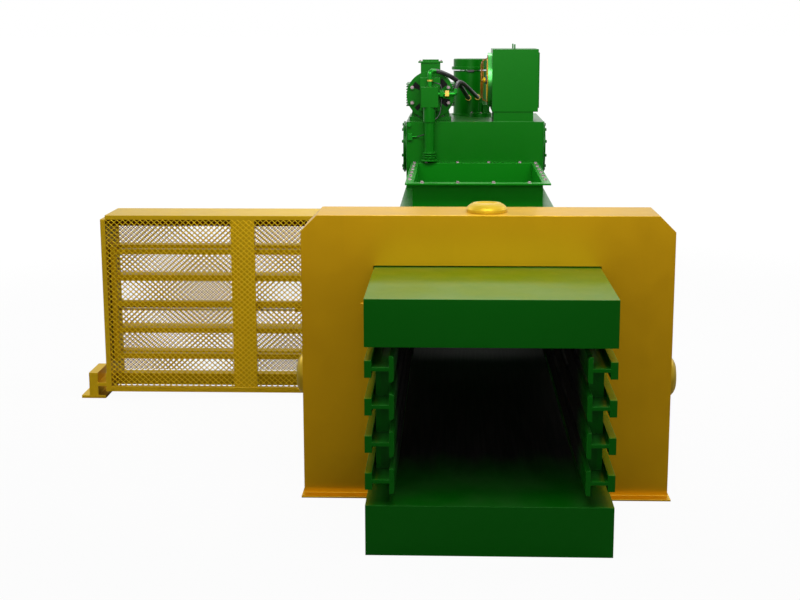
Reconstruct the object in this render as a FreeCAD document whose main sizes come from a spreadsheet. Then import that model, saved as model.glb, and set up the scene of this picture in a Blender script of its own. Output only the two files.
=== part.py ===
import FreeCAD, Part
import math
import os
from types import SimpleNamespace

import Sketcher

# Horizontal recycling baler with a squeezed bale channel and needle tying.
# X runs across the machine, Y runs along it from the open end of the bale
# channel towards the ram's cylinder, Z is up from the floor. The origin is on
# the floor under the middle of the channel's open end.

os.makedirs("parts", exist_ok=True)
doc = FreeCAD.newDocument("RecyclingBaler")

# ---------------------------------------------------------------- dimensions
# Driving dimensions in millimetres, one alias each in the sheet.
SIZES = {
    # bale channel
    "channel_inner_half": 553,
    "channel_outer_half": 723,
    "channel_floor_top": 305,
    "channel_tall": 945,
    "lid_thick": 279,
    "lid_rear": 3110,
    "rail_gap": 30,
    "rail_first_rise": 146,
    "rail_step": 223,
    "outer_flange_tall": 100,
    "outer_flange_thick": 42,
    "inner_flange_tall": 152,
    "inner_flange_thick": 28,
    "flange_chamfer": 10,
    "web_thick": 22,
    "post_gap": 12,
    "post_deep": 80,
    "post_first": 230,
    "post_step": 685,
    # hinges of the channel walls and of the lid
    "wall_pin_offset": 7,
    "wall_pin_setback": 50,
    "wall_pin_radius": 25,
    "wall_lug_half": 41,
    "wall_lug_reach": 40,
    "hinge_play": 0.05,
    "hinge_gap": 2,
    "fork_deep": 105,
    "lid_pin_setback": 80,
    "lid_pin_rise": 140,
    "lid_pin_radius": 30,
    "knuckle_radius": 62,
    "knuckle_long": 168,
    "knuckle_gap": 4,
    # tying section
    "tying_slot_end": 3760,
    "tying_rear": 4000,
    "tying_wall_play": 13,
    "roof_gap": 160,
    # press body
    "chamber_half": 556,
    "press_top_thick": 125,
    "press_side_thick": 40,
    "press_rear": 9800,
    "press_top_overhang": 340,
    "crosshead_thick": 150,
    "side_flange_thick": 25,
    "side_rib_thick": 25,
    "side_rib_first": 4300,
    "side_rib_step": 650,
    # hopper collar
    "hopper_inner_half": 580,
    "hopper_inner_front": 4910,
    "hopper_long": 1805,
    "hopper_wall": 10,
    "hopper_tall": 282,
    "hopper_flange_thick": 16,
    "hopper_flange_side": 66,
    "hopper_flange_end": 100,
    "hopper_bolt_first": -503,
    "hopper_bolt_step": 322.7,
    "hopper_side_bolt_first": 5125,
    "hopper_side_bolt_step": 315,
    "bolt_head_radius": 15.5,
    "bolt_head_tall": 15,
    # fixed blade, ram and main cylinder
    "blade_deep": 50,
    "blade_tall": 60,
    "ram_retreat": 85,
    "ram_rest_gap": 340,
    "ram_side_play": 8,
    "ram_under_play": 10,
    "ram_top_play": 6,
    "ram_plate": 30,
    "ram_face_thick": 60,
    "knife_deep": 55,
    "knife_tall": 50,
    "wear_strip_across": 400,
    "wear_strip_wide": 110,
    "wear_strip_play": 0.5,
    "cylinder_rise": 475,
    "barrel_outer": 200,
    "barrel_bore": 160,
    "barrel_setback": 100,
    "gland_long": 100,
    "rod_radius": 90,
    "piston_long": 70,
    "piston_rest": 80,
    "cylinder_play": 0.06,
    # squeeze arch
    "arch_front": 1090,
    "arch_deep": 450,
    "arch_half": 1195,
    "arch_beam": 331,
    "arch_chamfer": 103,
    "arch_play": 6,
    "arch_weld_drop": 15,
    "foot_thick": 10,
    "foot_reach": 83,
    "foot_side_reach": 11,
    "squeeze_rise": 460,
    "squeeze_barrel": 105,
    "squeeze_bore": 75,
    "squeeze_barrel_gap": 136,
    "squeeze_rod": 55,
    "squeeze_pad": 100,
    "squeeze_pad_thick": 30,
    "squeeze_pad_play": 1,
    "pad_recess_play": 5,
    "cap_radius": 134,
    "cap_tall": 55,
    "cap_ring": 74,
    "tab_offset": 81,
    "tab_wide": 19,
    "tab_low": 1226,
    "tab_tall": 65,
    "tab_deep": 18,
    # needle cage
    "cage_left": -3097,
    "cage_front": 3467,
    "cage_back": 3936,
    "cage_end_thick": 40,
    "cage_low": 59,
    "cage_top": 1538,
    "cage_top_thick": 36,
    "cage_bar_tall": 43,
    "cage_bar_deep": 42,
    "cage_post_left": -2030,
    "cage_post_wide": 195,
    "cage_post_deep": 24,
    "cage_mesh_thick": 6,
    "cage_back_mesh": 3857,
    "cage_rail_front": 3717,
    "cage_rail_deep": 117,
    "cage_rail_tall": 60,
    "cage_rail_top_0": 352,
    "cage_rail_top_1": 567,
    "cage_rail_top_2": 761,
    "cage_rail_top_3": 1012,
    "cage_rail_top_4": 1258,
    "cage_beam_low": 57,
    "cage_beam_tall": 98,
    "cage_inner_thick": 24,
    "mesh_gap_wide": 254,
    "mesh_gap_tall": 236,
    "mesh_strand": 11,
    "needle_front": 3565,
    "needle_deep": 68,
    "needle_tall": 42,
    "needle_tip_gap": 16,
    "needle_taper": 190,
    "needle_tail_gap": 12,
    "needle_eye": 9,
    "carriage_thick": 45,
    "carriage_play": 11,
    "pull_cylinder_along": 3675,
    "pull_cylinder_drop": 54.5,
    "pull_barrel": 30,
    "pull_stage": 22,
    "pull_end_wall": 8,
    "pull_rod": 14,
    "pull_barrel_end": -1530,
    "pull_stage_end": -2265,
    "foot_base_reach": 216,
    "foot_base_gap": 14,
    "foot_base_thick": 24,
    "foot_base_long": 333,
    "foot_flange_reach": 149,
    "foot_flange_thick": 74,
    "foot_flange_top": 217,
    "foot_web_low": 105,
    "foot_web_thick": 28,
    # wire twister housing on the far side
    "twister_wide": 270,
    "twister_front_play": 65,
    "twister_rear_play": 87,
    "twister_margin": 30,
    "twister_mouth": 60,
    # oil tank
    "tank_half": 712,
    "tank_gap": 5,
    "tank_long": 1480,
    "tank_tall": 698,
    "tank_corner": 14,
    "manway_rise": 382,
    "manway_neck": 262,
    "manway_neck_long": 32,
    "manway_radius": 275,
    "manway_thick": 18,
    "manway_bolt_circle": 240,
    "manway_bolt_count": 10,
    # motor
    "motor_across": -467,
    "motor_rise": 263,
    "motor_setback": 260,
    "motor_long": 550,
    "motor_radius": 222,
    "bell_radius": 248,
    "bell_thick": 25,
    "lobe_across": 190,
    "lobe_height": 80,
    "lobe_radius": 28,
    "fin_reach": 255,
    "fin_thick": 9,
    "fin_step": 28,
    "fin_count": 9,
    "cowl_radius": 238,
    "cowl_long": 150,
    "cowl_wall": 8,
    "cowl_seat": 14,
    "motor_shaft": 28,
    "shaft_play": 0.05,
    "terminal_half": 102,
    "terminal_rise": 331,
    "terminal_setback": 60,
    "terminal_deep": 200,
    "terminal_lip": 26,
    "terminal_lid_thick": 16,
    "terminal_cap_half": 85,
    "terminal_cap_thick": 18,
    "motor_base_half": 219,
    "motor_base_setback": 4,
    "motor_base_long": 506,
    "motor_base_thick": 38,
    "motor_leg_out": 204,
    "motor_leg_thick": 62,
    "motor_leg_drop": 131,
    # pump group
    "adapter_half": 104,
    "adapter_drop": 154,
    "adapter_rise": 185,
    "adapter_long": 185,
    "pump_half": 87,
    "pump_drop": 108,
    "pump_rise": 97,
    "pump_long": 200,
    "suction_offset": 4,
    "suction_inset": 62,
    "suction_radius": 52,
    "suction_collar": 62,
    "bellows_tall": 69,
    "bellows_gap": 25,
    "bellows_radius": 72,
    "bellows_neck": 58,
    "flare_radius": 85,
    "flare_gap": 18,
    "suction_branch": 40,
    "suction_branch_drop": 173,
    "delivery_inset": 40,
    "delivery_radius": 25,
    "delivery_bend": 60,
    "delivery_rise": 97,
    "side_port_rise": 22,
    "side_port_inset": 80,
    "side_port_radius": 24,
    "side_hex_gap": 16,
    "side_hex_long": 35,
    "side_hex_radius": 46,
    "side_nut_gap": 18,
    "side_nut_long": 41,
    "side_nut_radius": 38,
    "ferrule_radius": 31,
    "ferrule_long": 15,
    "port_one_offset": 24,
    "port_one_rise": 197,
    "port_two_offset": 78,
    "port_two_rise": 203,
    "hose_radius": 24,
    "cable_radius": 5,
    # filter column and return flange
    "filter_across": -36,
    "filter_inset": 225,
    "filter_radius": 190,
    "filter_tall": 493,
    "filter_neck": 120,
    "filter_rim_gap": 8,
    "filter_rim_radius": 210,
    "filter_rim_tall": 30,
    "filter_lid_tall": 116,
    "return_across": 75,
    "return_inset": 550,
    "return_radius": 119,
    "return_thick": 38,
    "return_pipe": 24,
    "return_pipe_tall": 155,
    "return_block_wide": 70,
    "return_block_tall": 88,
    "return_block_deep": 60,
    # cooler
    "cooler_left": 175,
    "cooler_wide": 473,
    "cooler_setback": 20,
    "cooler_long": 715,
    "pedestal_tall": 102,
    "cooler_tall": 637,
    "pedestal_left_inset": 17,
    "pedestal_right_inset": 47,
    "pedestal_front_inset": 10,
    "pedestal_rear_inset": 25,
    "fan_setback": 350,
    "fan_rise": 313,
    "fan_ring_outer": 282,
    "fan_ring_inner": 256,
    "fan_ring_long": 41,
    "fan_pocket_deep": 130,
    "fan_motor": 60,
    "fan_hub": 46,
    "fan_hub_gap": 3,
    "fan_hub_reach": 63,
    "fan_tip": 246,
    "fan_blade_thick": 5,
    "fan_blade_chord": 92,
    "fan_blade_pitch": 28,
    "fan_blade_count": 6,
    "fan_spindle": 12,
    "guard_reach": 109,
    "guard_hub": 27,
    "guard_hub_thick": 14,
    "guard_wire": 7,
    "guard_arm_count": 8,
    "eye_offset": 230,
    "eye_inset": 110,
    "eye_radius": 23,
    "eye_rise": 27,
    "eye_thick": 14,
    "eye_hole": 12,
    # level switch
    "switch_inset": 14,
    "switch_wide": 49,
    "switch_deep": 36,
    "switch_drop": 186,
    "switch_tall": 68,
    "switch_knob": 19,
    "switch_knob_drop": 30,
}

sheet = doc.addObject("Spreadsheet::Sheet", "Sizes")
for row, (alias, number) in enumerate(SIZES.items(), start=1):
    cell = "A%d" % row
    sheet.set(cell, str(number))
    sheet.setAlias(cell, alias)
doc.recompute()


class Size:
    """A length that keeps both its number and the sheet formula behind it."""

    def __init__(self, number, formula):
        self.number = float(number)
        self.formula = formula

    def __add__(self, other):
        other = as_size(other)
        return Size(self.number + other.number, "(%s + %s)" % (self.formula, other.formula))

    def __sub__(self, other):
        other = as_size(other)
        return Size(self.number - other.number, "(%s - %s)" % (self.formula, other.formula))

    def __mul__(self, other):
        other = as_size(other)
        return Size(self.number * other.number, "(%s * %s)" % (self.formula, other.formula))

    def __truediv__(self, other):
        other = as_size(other)
        return Size(self.number / other.number, "(%s / %s)" % (self.formula, other.formula))

    def __neg__(self):
        return Size(-self.number, "(-1 * %s)" % self.formula)

    def __radd__(self, other):
        return as_size(other) + self

    def __rsub__(self, other):
        return as_size(other) - self

    def __rmul__(self, other):
        return as_size(other) * self


def as_size(value):
    if isinstance(value, Size):
        return value
    return Size(value, "(%.6f)" % value)


D = SimpleNamespace(**{alias: Size(number, "Sizes." + alias) for alias, number in SIZES.items()})

# Heights that follow from the sizes, from the floor up.
D.channel_ceiling = D.channel_floor_top + D.channel_tall
D.lid_top = D.channel_ceiling + D.lid_thick
D.rail_first = D.channel_floor_top + D.rail_first_rise
D.lid_pin_height = D.channel_ceiling + D.lid_pin_rise
D.cylinder_height = D.channel_floor_top + D.cylinder_rise
D.squeeze_height = D.channel_floor_top + D.squeeze_rise
D.arch_top = D.lid_top + D.arch_beam
D.press_top = D.channel_ceiling + D.press_top_thick
D.hopper_flange_top = D.press_top + D.hopper_tall
D.tank_top = D.press_top + D.tank_tall
D.manway_height = D.press_top + D.manway_rise
D.flare_low = D.hopper_flange_top + D.flare_gap
D.bellows_low = D.flare_low + D.bellows_gap
D.bellows_top = D.bellows_low + D.bellows_tall
D.suction_branch_height = D.tank_top - D.suction_branch_drop
D.motor_base_top = D.tank_top + D.motor_base_thick
D.motor_height = D.tank_top + D.motor_rise
D.motor_leg_top = D.motor_height - D.motor_leg_drop
D.terminal_top = D.motor_height + D.terminal_rise
D.adapter_low = D.motor_height - D.adapter_drop
D.adapter_top = D.motor_height + D.adapter_rise
D.pump_low = D.motor_height - D.pump_drop
D.pump_top = D.motor_height + D.pump_rise
D.side_port_height = D.motor_height + D.side_port_rise
D.filter_top = D.tank_top + D.filter_tall
D.filter_rim_low = D.filter_top + D.filter_rim_gap
D.filter_lid_top = D.filter_rim_low + D.filter_lid_tall
D.return_pipe_top = D.tank_top + D.return_pipe_tall
D.cooler_low = D.tank_top + D.pedestal_tall
D.cooler_top = D.cooler_low + D.cooler_tall
D.fan_height = D.cooler_low + D.fan_rise
D.switch_low = D.tank_top - D.switch_drop
D.switch_knob_height = D.tank_top - D.switch_knob_drop

# Distances along the machine that follow from the sizes.
D.rail_rear = D.lid_rear - D.rail_gap
D.fork_front = D.lid_rear
D.fork_root = D.lid_rear + D.fork_deep
D.wall_pin_along = D.lid_rear + D.wall_pin_setback
D.lid_pin_along = D.lid_rear + D.lid_pin_setback
D.roof_front = D.lid_rear + D.roof_gap
D.foot_front = D.arch_front - D.foot_reach
D.foot_rear = D.arch_front + D.arch_deep + D.foot_reach
D.carriage_back = D.cage_rail_front - D.carriage_play
D.foot_base_rear = D.cage_front + D.foot_base_long
D.twister_front = D.needle_front - D.twister_front_play
D.twister_rear = D.needle_front + D.needle_deep + D.twister_rear_play
D.hopper_inner_rear = D.hopper_inner_front + D.hopper_long
D.ram_face = D.hopper_inner_rear + D.ram_retreat
D.barrel_front = D.ram_face + D.barrel_setback
D.piston_front = D.press_rear - D.piston_rest
D.tank_front = D.hopper_inner_rear + D.hopper_wall + D.hopper_flange_end + D.tank_gap
D.tank_rear = D.tank_front + D.tank_long
D.press_top_rear = D.tank_rear + D.press_top_overhang
D.manway_along = (D.tank_front + D.tank_rear) / 2
D.motor_front = D.tank_front + D.motor_setback
D.terminal_front = D.motor_front + D.terminal_setback
D.motor_base_front = D.motor_front + D.motor_base_setback
D.motor_base_rear = D.motor_base_front + D.motor_base_long
D.adapter_front = D.motor_front - D.bell_thick - D.adapter_long
D.pump_front = D.adapter_front - D.pump_long
D.suction_along = D.pump_front + D.suction_inset
D.delivery_along = D.adapter_front - D.delivery_inset
D.side_port_along = D.adapter_front - D.side_port_inset
D.filter_along = D.tank_rear - D.filter_inset
D.return_along = D.tank_rear - D.return_inset
D.cooler_front = D.tank_front + D.cooler_setback
D.cooler_rear = D.cooler_front + D.cooler_long
D.pedestal_front = D.cooler_front + D.pedestal_front_inset
D.pedestal_rear = D.cooler_rear - D.pedestal_rear_inset
D.fan_along = D.cooler_front + D.fan_setback
D.eye_front = D.cooler_front + D.eye_inset
D.eye_rear = D.cooler_rear - D.eye_inset

# Distances across the machine that follow from the sizes.
D.wall_pin_across = (D.channel_inner_half + D.channel_outer_half) / 2 - D.wall_pin_offset
D.arch_inner = D.channel_outer_half + D.arch_play
D.tab_left = -D.arch_inner - D.tab_offset
D.needle_tip = -D.channel_outer_half - D.needle_tip_gap
D.foot_out = D.arch_half + D.foot_side_reach
D.cage_right = -D.channel_outer_half
D.needle_tail = D.cage_left + D.cage_end_thick + D.needle_tail_gap
D.foot_base_left = D.cage_left - D.foot_base_reach
D.foot_base_right = D.cage_left - D.foot_base_gap
D.foot_flange_left = D.cage_left - D.foot_flange_reach
D.twister_left = D.channel_outer_half
D.suction_across = D.motor_across - D.suction_offset
D.side_hex_left = D.motor_across + D.pump_half + D.side_hex_gap
D.side_nut_left = D.side_hex_left + D.side_hex_long + D.side_nut_gap
D.cooler_right = D.cooler_left + D.cooler_wide
D.pedestal_left = D.cooler_left + D.pedestal_left_inset
D.pedestal_right = D.cooler_right - D.pedestal_right_inset
D.fan_hub_nose = D.cooler_left - D.fan_hub_reach
D.eye_across = D.cooler_left + D.eye_offset
D.switch_left = D.switch_inset - D.tank_half

# Turns that carry the +Z of a primitive onto the axis it lies along.
TURNS = {
    "x": FreeCAD.Rotation(FreeCAD.Vector(0, 1, 0), 90),
    "y": FreeCAD.Rotation(FreeCAD.Vector(1, 0, 0), -90),
    "z": FreeCAD.Rotation(),
    "-x": FreeCAD.Rotation(FreeCAD.Vector(0, 1, 0), -90),
}
ACROSS = {"x": "yz", "y": "xz", "z": "xy"}
NODES = {}


# ------------------------------------------------------------------- helpers
def bind(obj, prop, value):
    obj.setExpression(prop, as_size(value).formula)


def place(obj, x, y, z):
    for axis, value in zip("xyz", (x, y, z)):
        bind(obj, "Placement.Base." + axis, value)
    return obj


def block(name, x, y, z):
    """A box between the two values given along each axis."""
    box = doc.addObject("Part::Box", name)
    bind(box, "Length", x[1] - as_size(x[0]))
    bind(box, "Width", y[1] - as_size(y[0]))
    bind(box, "Height", z[1] - as_size(z[0]))
    return place(box, x[0], y[0], z[0])


def start_point(axis, centre, start):
    spot = dict(zip(ACROSS[axis], centre))
    spot[axis] = start
    return spot["x"], spot["y"], spot["z"]


def rod(name, axis, centre, radius, span):
    """A cylinder along an axis, centred on the two values across it."""
    cylinder = doc.addObject("Part::Cylinder", name)
    cylinder.Placement = FreeCAD.Placement(FreeCAD.Vector(), TURNS[axis])
    bind(cylinder, "Radius", radius)
    bind(cylinder, "Height", span[1] - as_size(span[0]))
    return place(cylinder, *start_point(axis, centre, span[0]))


def hexagon(name, axis, centre, radius, span):
    prism = doc.addObject("Part::Prism", name)
    prism.Placement = FreeCAD.Placement(FreeCAD.Vector(), TURNS[axis])
    prism.Polygon = 6
    bind(prism, "Circumradius", radius)
    bind(prism, "Height", span[1] - as_size(span[0]))
    return place(prism, *start_point(axis, centre, span[0]))


def join(name, pieces):
    union = doc.addObject("Part::MultiFuse", name)
    union.Shapes = pieces
    return union


def group(name, pieces):
    """Separate solids that share one node."""
    compound = doc.addObject("Part::Compound", name)
    compound.Links = pieces
    return compound


def cut(name, base, tools):
    difference = doc.addObject("Part::Cut", name)
    difference.Base = base
    difference.Tool = tools[0] if len(tools) == 1 else group(name + "Tools", tools)
    return difference


def node(name, obj):
    """Name an object as one exported piece."""
    obj.Label = name
    NODES[name] = obj
    return obj


def draw(sketch, loops):
    """Closed loops of corners, each corner held by its own two dimensions."""
    first = 0
    for corners in loops:
        count = len(corners)
        spots = [FreeCAD.Vector(as_size(u).number, as_size(v).number, 0) for u, v in corners]
        for i in range(count):
            sketch.addGeometry(Part.LineSegment(spots[i], spots[(i + 1) % count]), False)
        for i in range(count):
            here, after = first + i, first + (i + 1) % count
            sketch.addConstraint(Sketcher.Constraint("Coincident", here, 2, after, 1))
        for i, corner in enumerate(corners):
            for kind, value in zip(("DistanceX", "DistanceY"), corner):
                value = as_size(value)
                rule = Sketcher.Constraint(kind, first + i, 1, value.number)
                index = sketch.addConstraint(rule)
                sketch.setExpression("Constraints[%d]" % index, value.formula)
        first += count


def sketched_body(name, role, loops):
    body = doc.addObject("PartDesign::Body", name)
    plane = [item for item in body.Origin.OriginFeatures if item.Role == role][0]
    sketch = body.newObject("Sketcher::SketchObject", name + "Sketch")
    sketch.AttachmentSupport = (plane, "")
    sketch.MapMode = "FlatFace"
    draw(sketch, loops)
    return body, sketch


def profile(name, axis, loops, span):
    """Loops of corners drawn across an axis and padded along it."""
    role = {"x": "YZ_Plane", "y": "XZ_Plane", "z": "XY_Plane"}[axis]
    body, sketch = sketched_body(name, role, loops)
    pad = body.newObject("PartDesign::Pad", name + "Pad")
    pad.Profile = sketch
    pad.Reversed = axis == "y"
    bind(pad, "Length", span[1] - as_size(span[0]))
    bind(body, "Placement.Base." + axis, span[0])
    return body


def turned(name, axis, origin, corners):
    """A half section of (radius, distance) corners revolved about an axis."""
    body, sketch = sketched_body(name, "XZ_Plane", [corners])
    spin = body.newObject("PartDesign::Revolution", name + "Revolution")
    spin.Profile = sketch
    spin.ReferenceAxis = (sketch, ["V_Axis"])
    spin.Angle = 360
    body.Placement = FreeCAD.Placement(FreeCAD.Vector(), TURNS[axis])
    return place(body, *origin)


def rectangle(u, v):
    return [(u[0], v[0]), (u[1], v[0]), (u[1], v[1]), (u[0], v[1])]


def both(half):
    return (-half, half)


def solid_feature(name, shape):
    feature = doc.addObject("Part::Feature", name)
    feature.Shape = shape
    feature.Placement = FreeCAD.Placement()
    return feature


def vector(x, y, z):
    return FreeCAD.Vector(as_size(x).number, as_size(y).number, as_size(z).number)


def rounded_path(name, points):
    """Straight runs joined by tangent arcs as large as their runs allow."""
    edges = []
    here = points[0]
    radii = []
    for i in range(1, len(points) - 1):
        back = (points[i - 1] - points[i]).normalize()
        ahead = (points[i + 1] - points[i]).normalize()
        half_turn = (math.pi - back.getAngle(ahead)) / 2
        shorter = min(points[i].distanceToPoint(points[i - 1]), points[i].distanceToPoint(points[i + 1]))
        reach = 0.45 * shorter
        radius = reach / math.tan(half_turn)
        radii.append(radius)
        enter = points[i] + back * reach
        leave = points[i] + ahead * reach
        inward = (back + ahead).normalize()
        middle = points[i] + inward * (radius / math.cos(half_turn) - radius)
        edges.append(Part.LineSegment(here, enter).toShape())
        edges.append(Part.Arc(enter, middle, leave).toShape())
        here = leave
    edges.append(Part.LineSegment(here, points[-1]).toShape())
    print(name, "radii", ["%.0f" % radius for radius in radii])
    return Part.Wire(edges)


def tube_along(name, points, radius):
    """A round bar swept along a rounded path, its volume compared with its length."""
    path = rounded_path(name, points)
    start = (points[1] - points[0]).normalize()
    circle = Part.Wire([Part.Circle(points[0], start, radius).toShape()])
    shape = path.makePipeShell([circle], True, False)
    expected = math.pi * radius ** 2 * path.Length
    print(name, "length %.0f, volume over section x length %.4f" % (path.Length, shape.Volume / expected))
    return shape


# ------------------------------------------------------------- bale channel
rail_heights = [D.rail_first + D.rail_step * k for k in range(4)]

node("channel_floor", block(
    "ChannelFloor", both(D.channel_outer_half), (0, D.tying_rear), (0, D.channel_floor_top)))


def rail_section(side, height):
    """I-section lying on its side: tall inner flange, web, short outer flange."""
    inner = D.channel_inner_half
    root = inner + D.inner_flange_thick
    outer = D.channel_outer_half
    heel = outer - D.outer_flange_thick
    tall = D.inner_flange_tall / 2
    short = D.outer_flange_tall / 2
    web = D.web_thick / 2
    edge = D.flange_chamfer
    upper = [
        (inner, tall - edge), (inner + edge, tall), (root, tall), (root, web),
        (heel, web), (heel, short), (outer, short)]
    lower = [(across, -rise) for across, rise in reversed(upper)]
    return [(across * side, height + rise) for across, rise in upper + lower]


def wall_pin_hole(name, side):
    centre = (D.wall_pin_across * side, D.wall_pin_along)
    span = (D.channel_floor_top + 1, D.channel_ceiling - 1)
    return rod(name, "z", centre, D.wall_pin_radius + D.hinge_play, span)


post_room = D.rail_rear - D.post_first - D.post_deep
post_count = int(post_room.number / D.post_step.number) + 1
tying_walls = []
hinge_pins = []
for side, word in ((-1, "left"), (1, "right")):
    rails = []
    for k, height in enumerate(rail_heights):
        beam = profile("Rail%s%d" % (word, k), "y", [rail_section(side, height)], (0, D.rail_rear))
        lug_edges = sorted(
            ((D.wall_pin_across - D.wall_lug_half) * side, (D.wall_pin_across + D.wall_lug_half) * side),
            key=lambda edge: edge.number)
        lug = block(
            "RailLug%s%d" % (word, k), lug_edges,
            (D.rail_rear - 20, D.wall_pin_along + D.wall_lug_reach),
            (height - D.web_thick / 2, height + D.web_thick / 2))
        joined = join("RailJoined%s%d" % (word, k), [beam, lug])
        rails.append(cut(
            "RailDrilled%s%d" % (word, k), joined, [wall_pin_hole("RailHole%s%d" % (word, k), side)]))

    post_inner = D.channel_inner_half + D.inner_flange_thick
    post_outer = D.channel_outer_half - D.outer_flange_thick - D.post_gap
    post_edges = sorted((post_inner * side, post_outer * side), key=lambda edge: edge.number)
    for i in range(post_count):
        start = D.post_first + D.post_step * i
        for k in range(3):
            rails.append(block(
                "Post%s%d%d" % (word, i, k), post_edges, (start, start + D.post_deep),
                (rail_heights[k] + D.web_thick / 2, rail_heights[k + 1] - D.web_thick / 2)))
    node("channel_wall_" + word, group("ChannelWall" + word, rails))

    # Fixed wall of the tying section: a comb whose gaps carry on the tie slots,
    # each tooth forked in front for the hinge lug of one rail.
    half_tooth = D.inner_flange_tall / 2
    half_fork = D.web_thick / 2 + D.hinge_gap
    comb = [(D.tying_rear, D.channel_floor_top), (D.tying_slot_end, D.channel_floor_top)]
    for height in rail_heights:
        comb += [
            (D.tying_slot_end, height - half_tooth),
            (D.fork_front, height - half_tooth),
            (D.fork_front, height - half_fork),
            (D.fork_root, height - half_fork),
            (D.fork_root, height + half_fork),
            (D.fork_front, height + half_fork),
            (D.fork_front, height + half_tooth),
            (D.tying_slot_end, height + half_tooth)]
    comb += [(D.tying_slot_end, D.channel_ceiling), (D.tying_rear, D.channel_ceiling)]
    near = D.channel_inner_half * side
    far = (D.channel_outer_half - D.tying_wall_play) * side
    span = (near, far) if side > 0 else (far, near)
    comb_body = profile("Comb" + word, "x", [comb], span)
    tying_walls.append(cut("TyingWall" + word, comb_body, [wall_pin_hole("CombHole" + word, side)]))
    hinge_pins.append(rod(
        "WallPin" + word, "z", (D.wall_pin_across * side, D.wall_pin_along), D.wall_pin_radius,
        (rail_heights[0] - half_tooth, rail_heights[3] + half_tooth)))
node("tying_walls", group("TyingWalls", tying_walls))


# ------------------------------------------------------------ lid and roof
def lid_pin_hole(name):
    span = both(D.channel_outer_half)
    return rod(name, "x", (D.lid_pin_along, D.lid_pin_height), D.lid_pin_radius + D.hinge_play, span)


def knuckles(name, numbers, y):
    """Every second barrel of the seven-barrel hinge, with the cheek that holds it."""
    made = []
    for i in numbers:
        centre = (D.knuckle_long + D.knuckle_gap) * (i - 3)
        span = (centre - D.knuckle_long / 2, centre + D.knuckle_long / 2)
        pin = (D.lid_pin_along, D.lid_pin_height)
        made.append(rod("%sBarrel%d" % (name, i), "x", pin, D.knuckle_radius, span))
        cheek = (D.lid_pin_height - D.knuckle_radius, D.lid_pin_height + D.knuckle_radius)
        made.append(block("%sCheek%d" % (name, i), span, y, cheek))
    return made


lid_box = block("LidBox", both(D.channel_outer_half), (0, D.lid_rear), (D.channel_ceiling, D.lid_top))
lid_joined = join("LidJoined", [lid_box] + knuckles("Lid", (1, 3, 5), (D.lid_rear - 5, D.lid_pin_along)))
node("channel_lid", cut("Lid", lid_joined, [lid_pin_hole("LidHole")]))

roof_box = block(
    "RoofBox", both(D.channel_outer_half), (D.roof_front, D.tying_rear), (D.channel_ceiling, D.lid_top))
roof_cheeks = knuckles("Roof", (0, 2, 4, 6), (D.lid_pin_along, D.roof_front + 5))
roof_joined = join("RoofJoined", [roof_box] + roof_cheeks)
node("tying_roof", cut("Roof", roof_joined, [lid_pin_hole("RoofHole")]))
pin_half = (D.knuckle_long + D.knuckle_gap) * 3 + D.knuckle_long / 2
hinge_pins.append(rod("LidPin", "x", (D.lid_pin_along, D.lid_pin_height), D.lid_pin_radius, both(pin_half)))
node("hinge_pins", group("HingePins", hinge_pins))

# --------------------------------------------------------------- press body
node("press_base", block(
    "PressBase", both(D.channel_outer_half), (D.tying_rear, D.press_rear + D.crosshead_thick),
    (0, D.channel_floor_top)))

press_sides = []
rib_count = int((D.press_rear.number - D.side_rib_first.number) / D.side_rib_step.number) + 1
for side, word in ((-1, "left"), (1, "right")):
    skin = D.chamber_half + D.press_side_thick
    low, high = D.channel_floor_top, D.channel_ceiling
    section = [
        (D.chamber_half, low), (D.channel_outer_half, low), (D.channel_outer_half, low + D.side_flange_thick),
        (skin, low + D.side_flange_thick), (skin, high - D.side_flange_thick),
        (D.channel_outer_half, high - D.side_flange_thick), (D.channel_outer_half, high),
        (D.chamber_half, high)]
    section = [(across * side, rise) for across, rise in section]
    wall = profile("PressSide" + word, "y", [section], (D.tying_rear, D.press_rear))
    edges = sorted(((skin - 5) * side, D.channel_outer_half * side), key=lambda edge: edge.number)
    ribs = []
    for i in range(rib_count):
        start = D.side_rib_first + D.side_rib_step * i
        ribs.append(block("SideRib%s%d" % (word, i), edges, (start, start + D.side_rib_thick), (low, high)))
    press_sides.append(join("PressSideJoined" + word, [wall] + ribs))
node("press_sides", group("PressSides", press_sides))

mouth_y = (D.hopper_inner_front, D.hopper_inner_rear)
top_plate = block(
    "PressTopPlate", both(D.channel_outer_half), (D.tying_rear, D.press_top_rear),
    (D.channel_ceiling, D.press_top))
mouth = block(
    "PressMouth", both(D.channel_inner_half), mouth_y, (D.channel_ceiling - 5, D.press_top + 5))
blade_y = (D.hopper_inner_front - D.blade_deep, D.hopper_inner_front)
blade_z = (D.channel_ceiling, D.channel_ceiling + D.blade_tall)
blade_seat = block("BladeSeat", both(D.channel_inner_half), blade_y, (D.channel_ceiling - 5, blade_z[1]))
node("press_top_plate", cut("PressTop", top_plate, [mouth, blade_seat]))
node("shear_blade", block("ShearBlade", both(D.channel_inner_half), blade_y, blade_z))
node("rear_crosshead", block(
    "Crosshead", both(D.channel_outer_half), (D.press_rear, D.press_rear + D.crosshead_thick),
    (D.channel_floor_top, D.channel_ceiling)))

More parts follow.
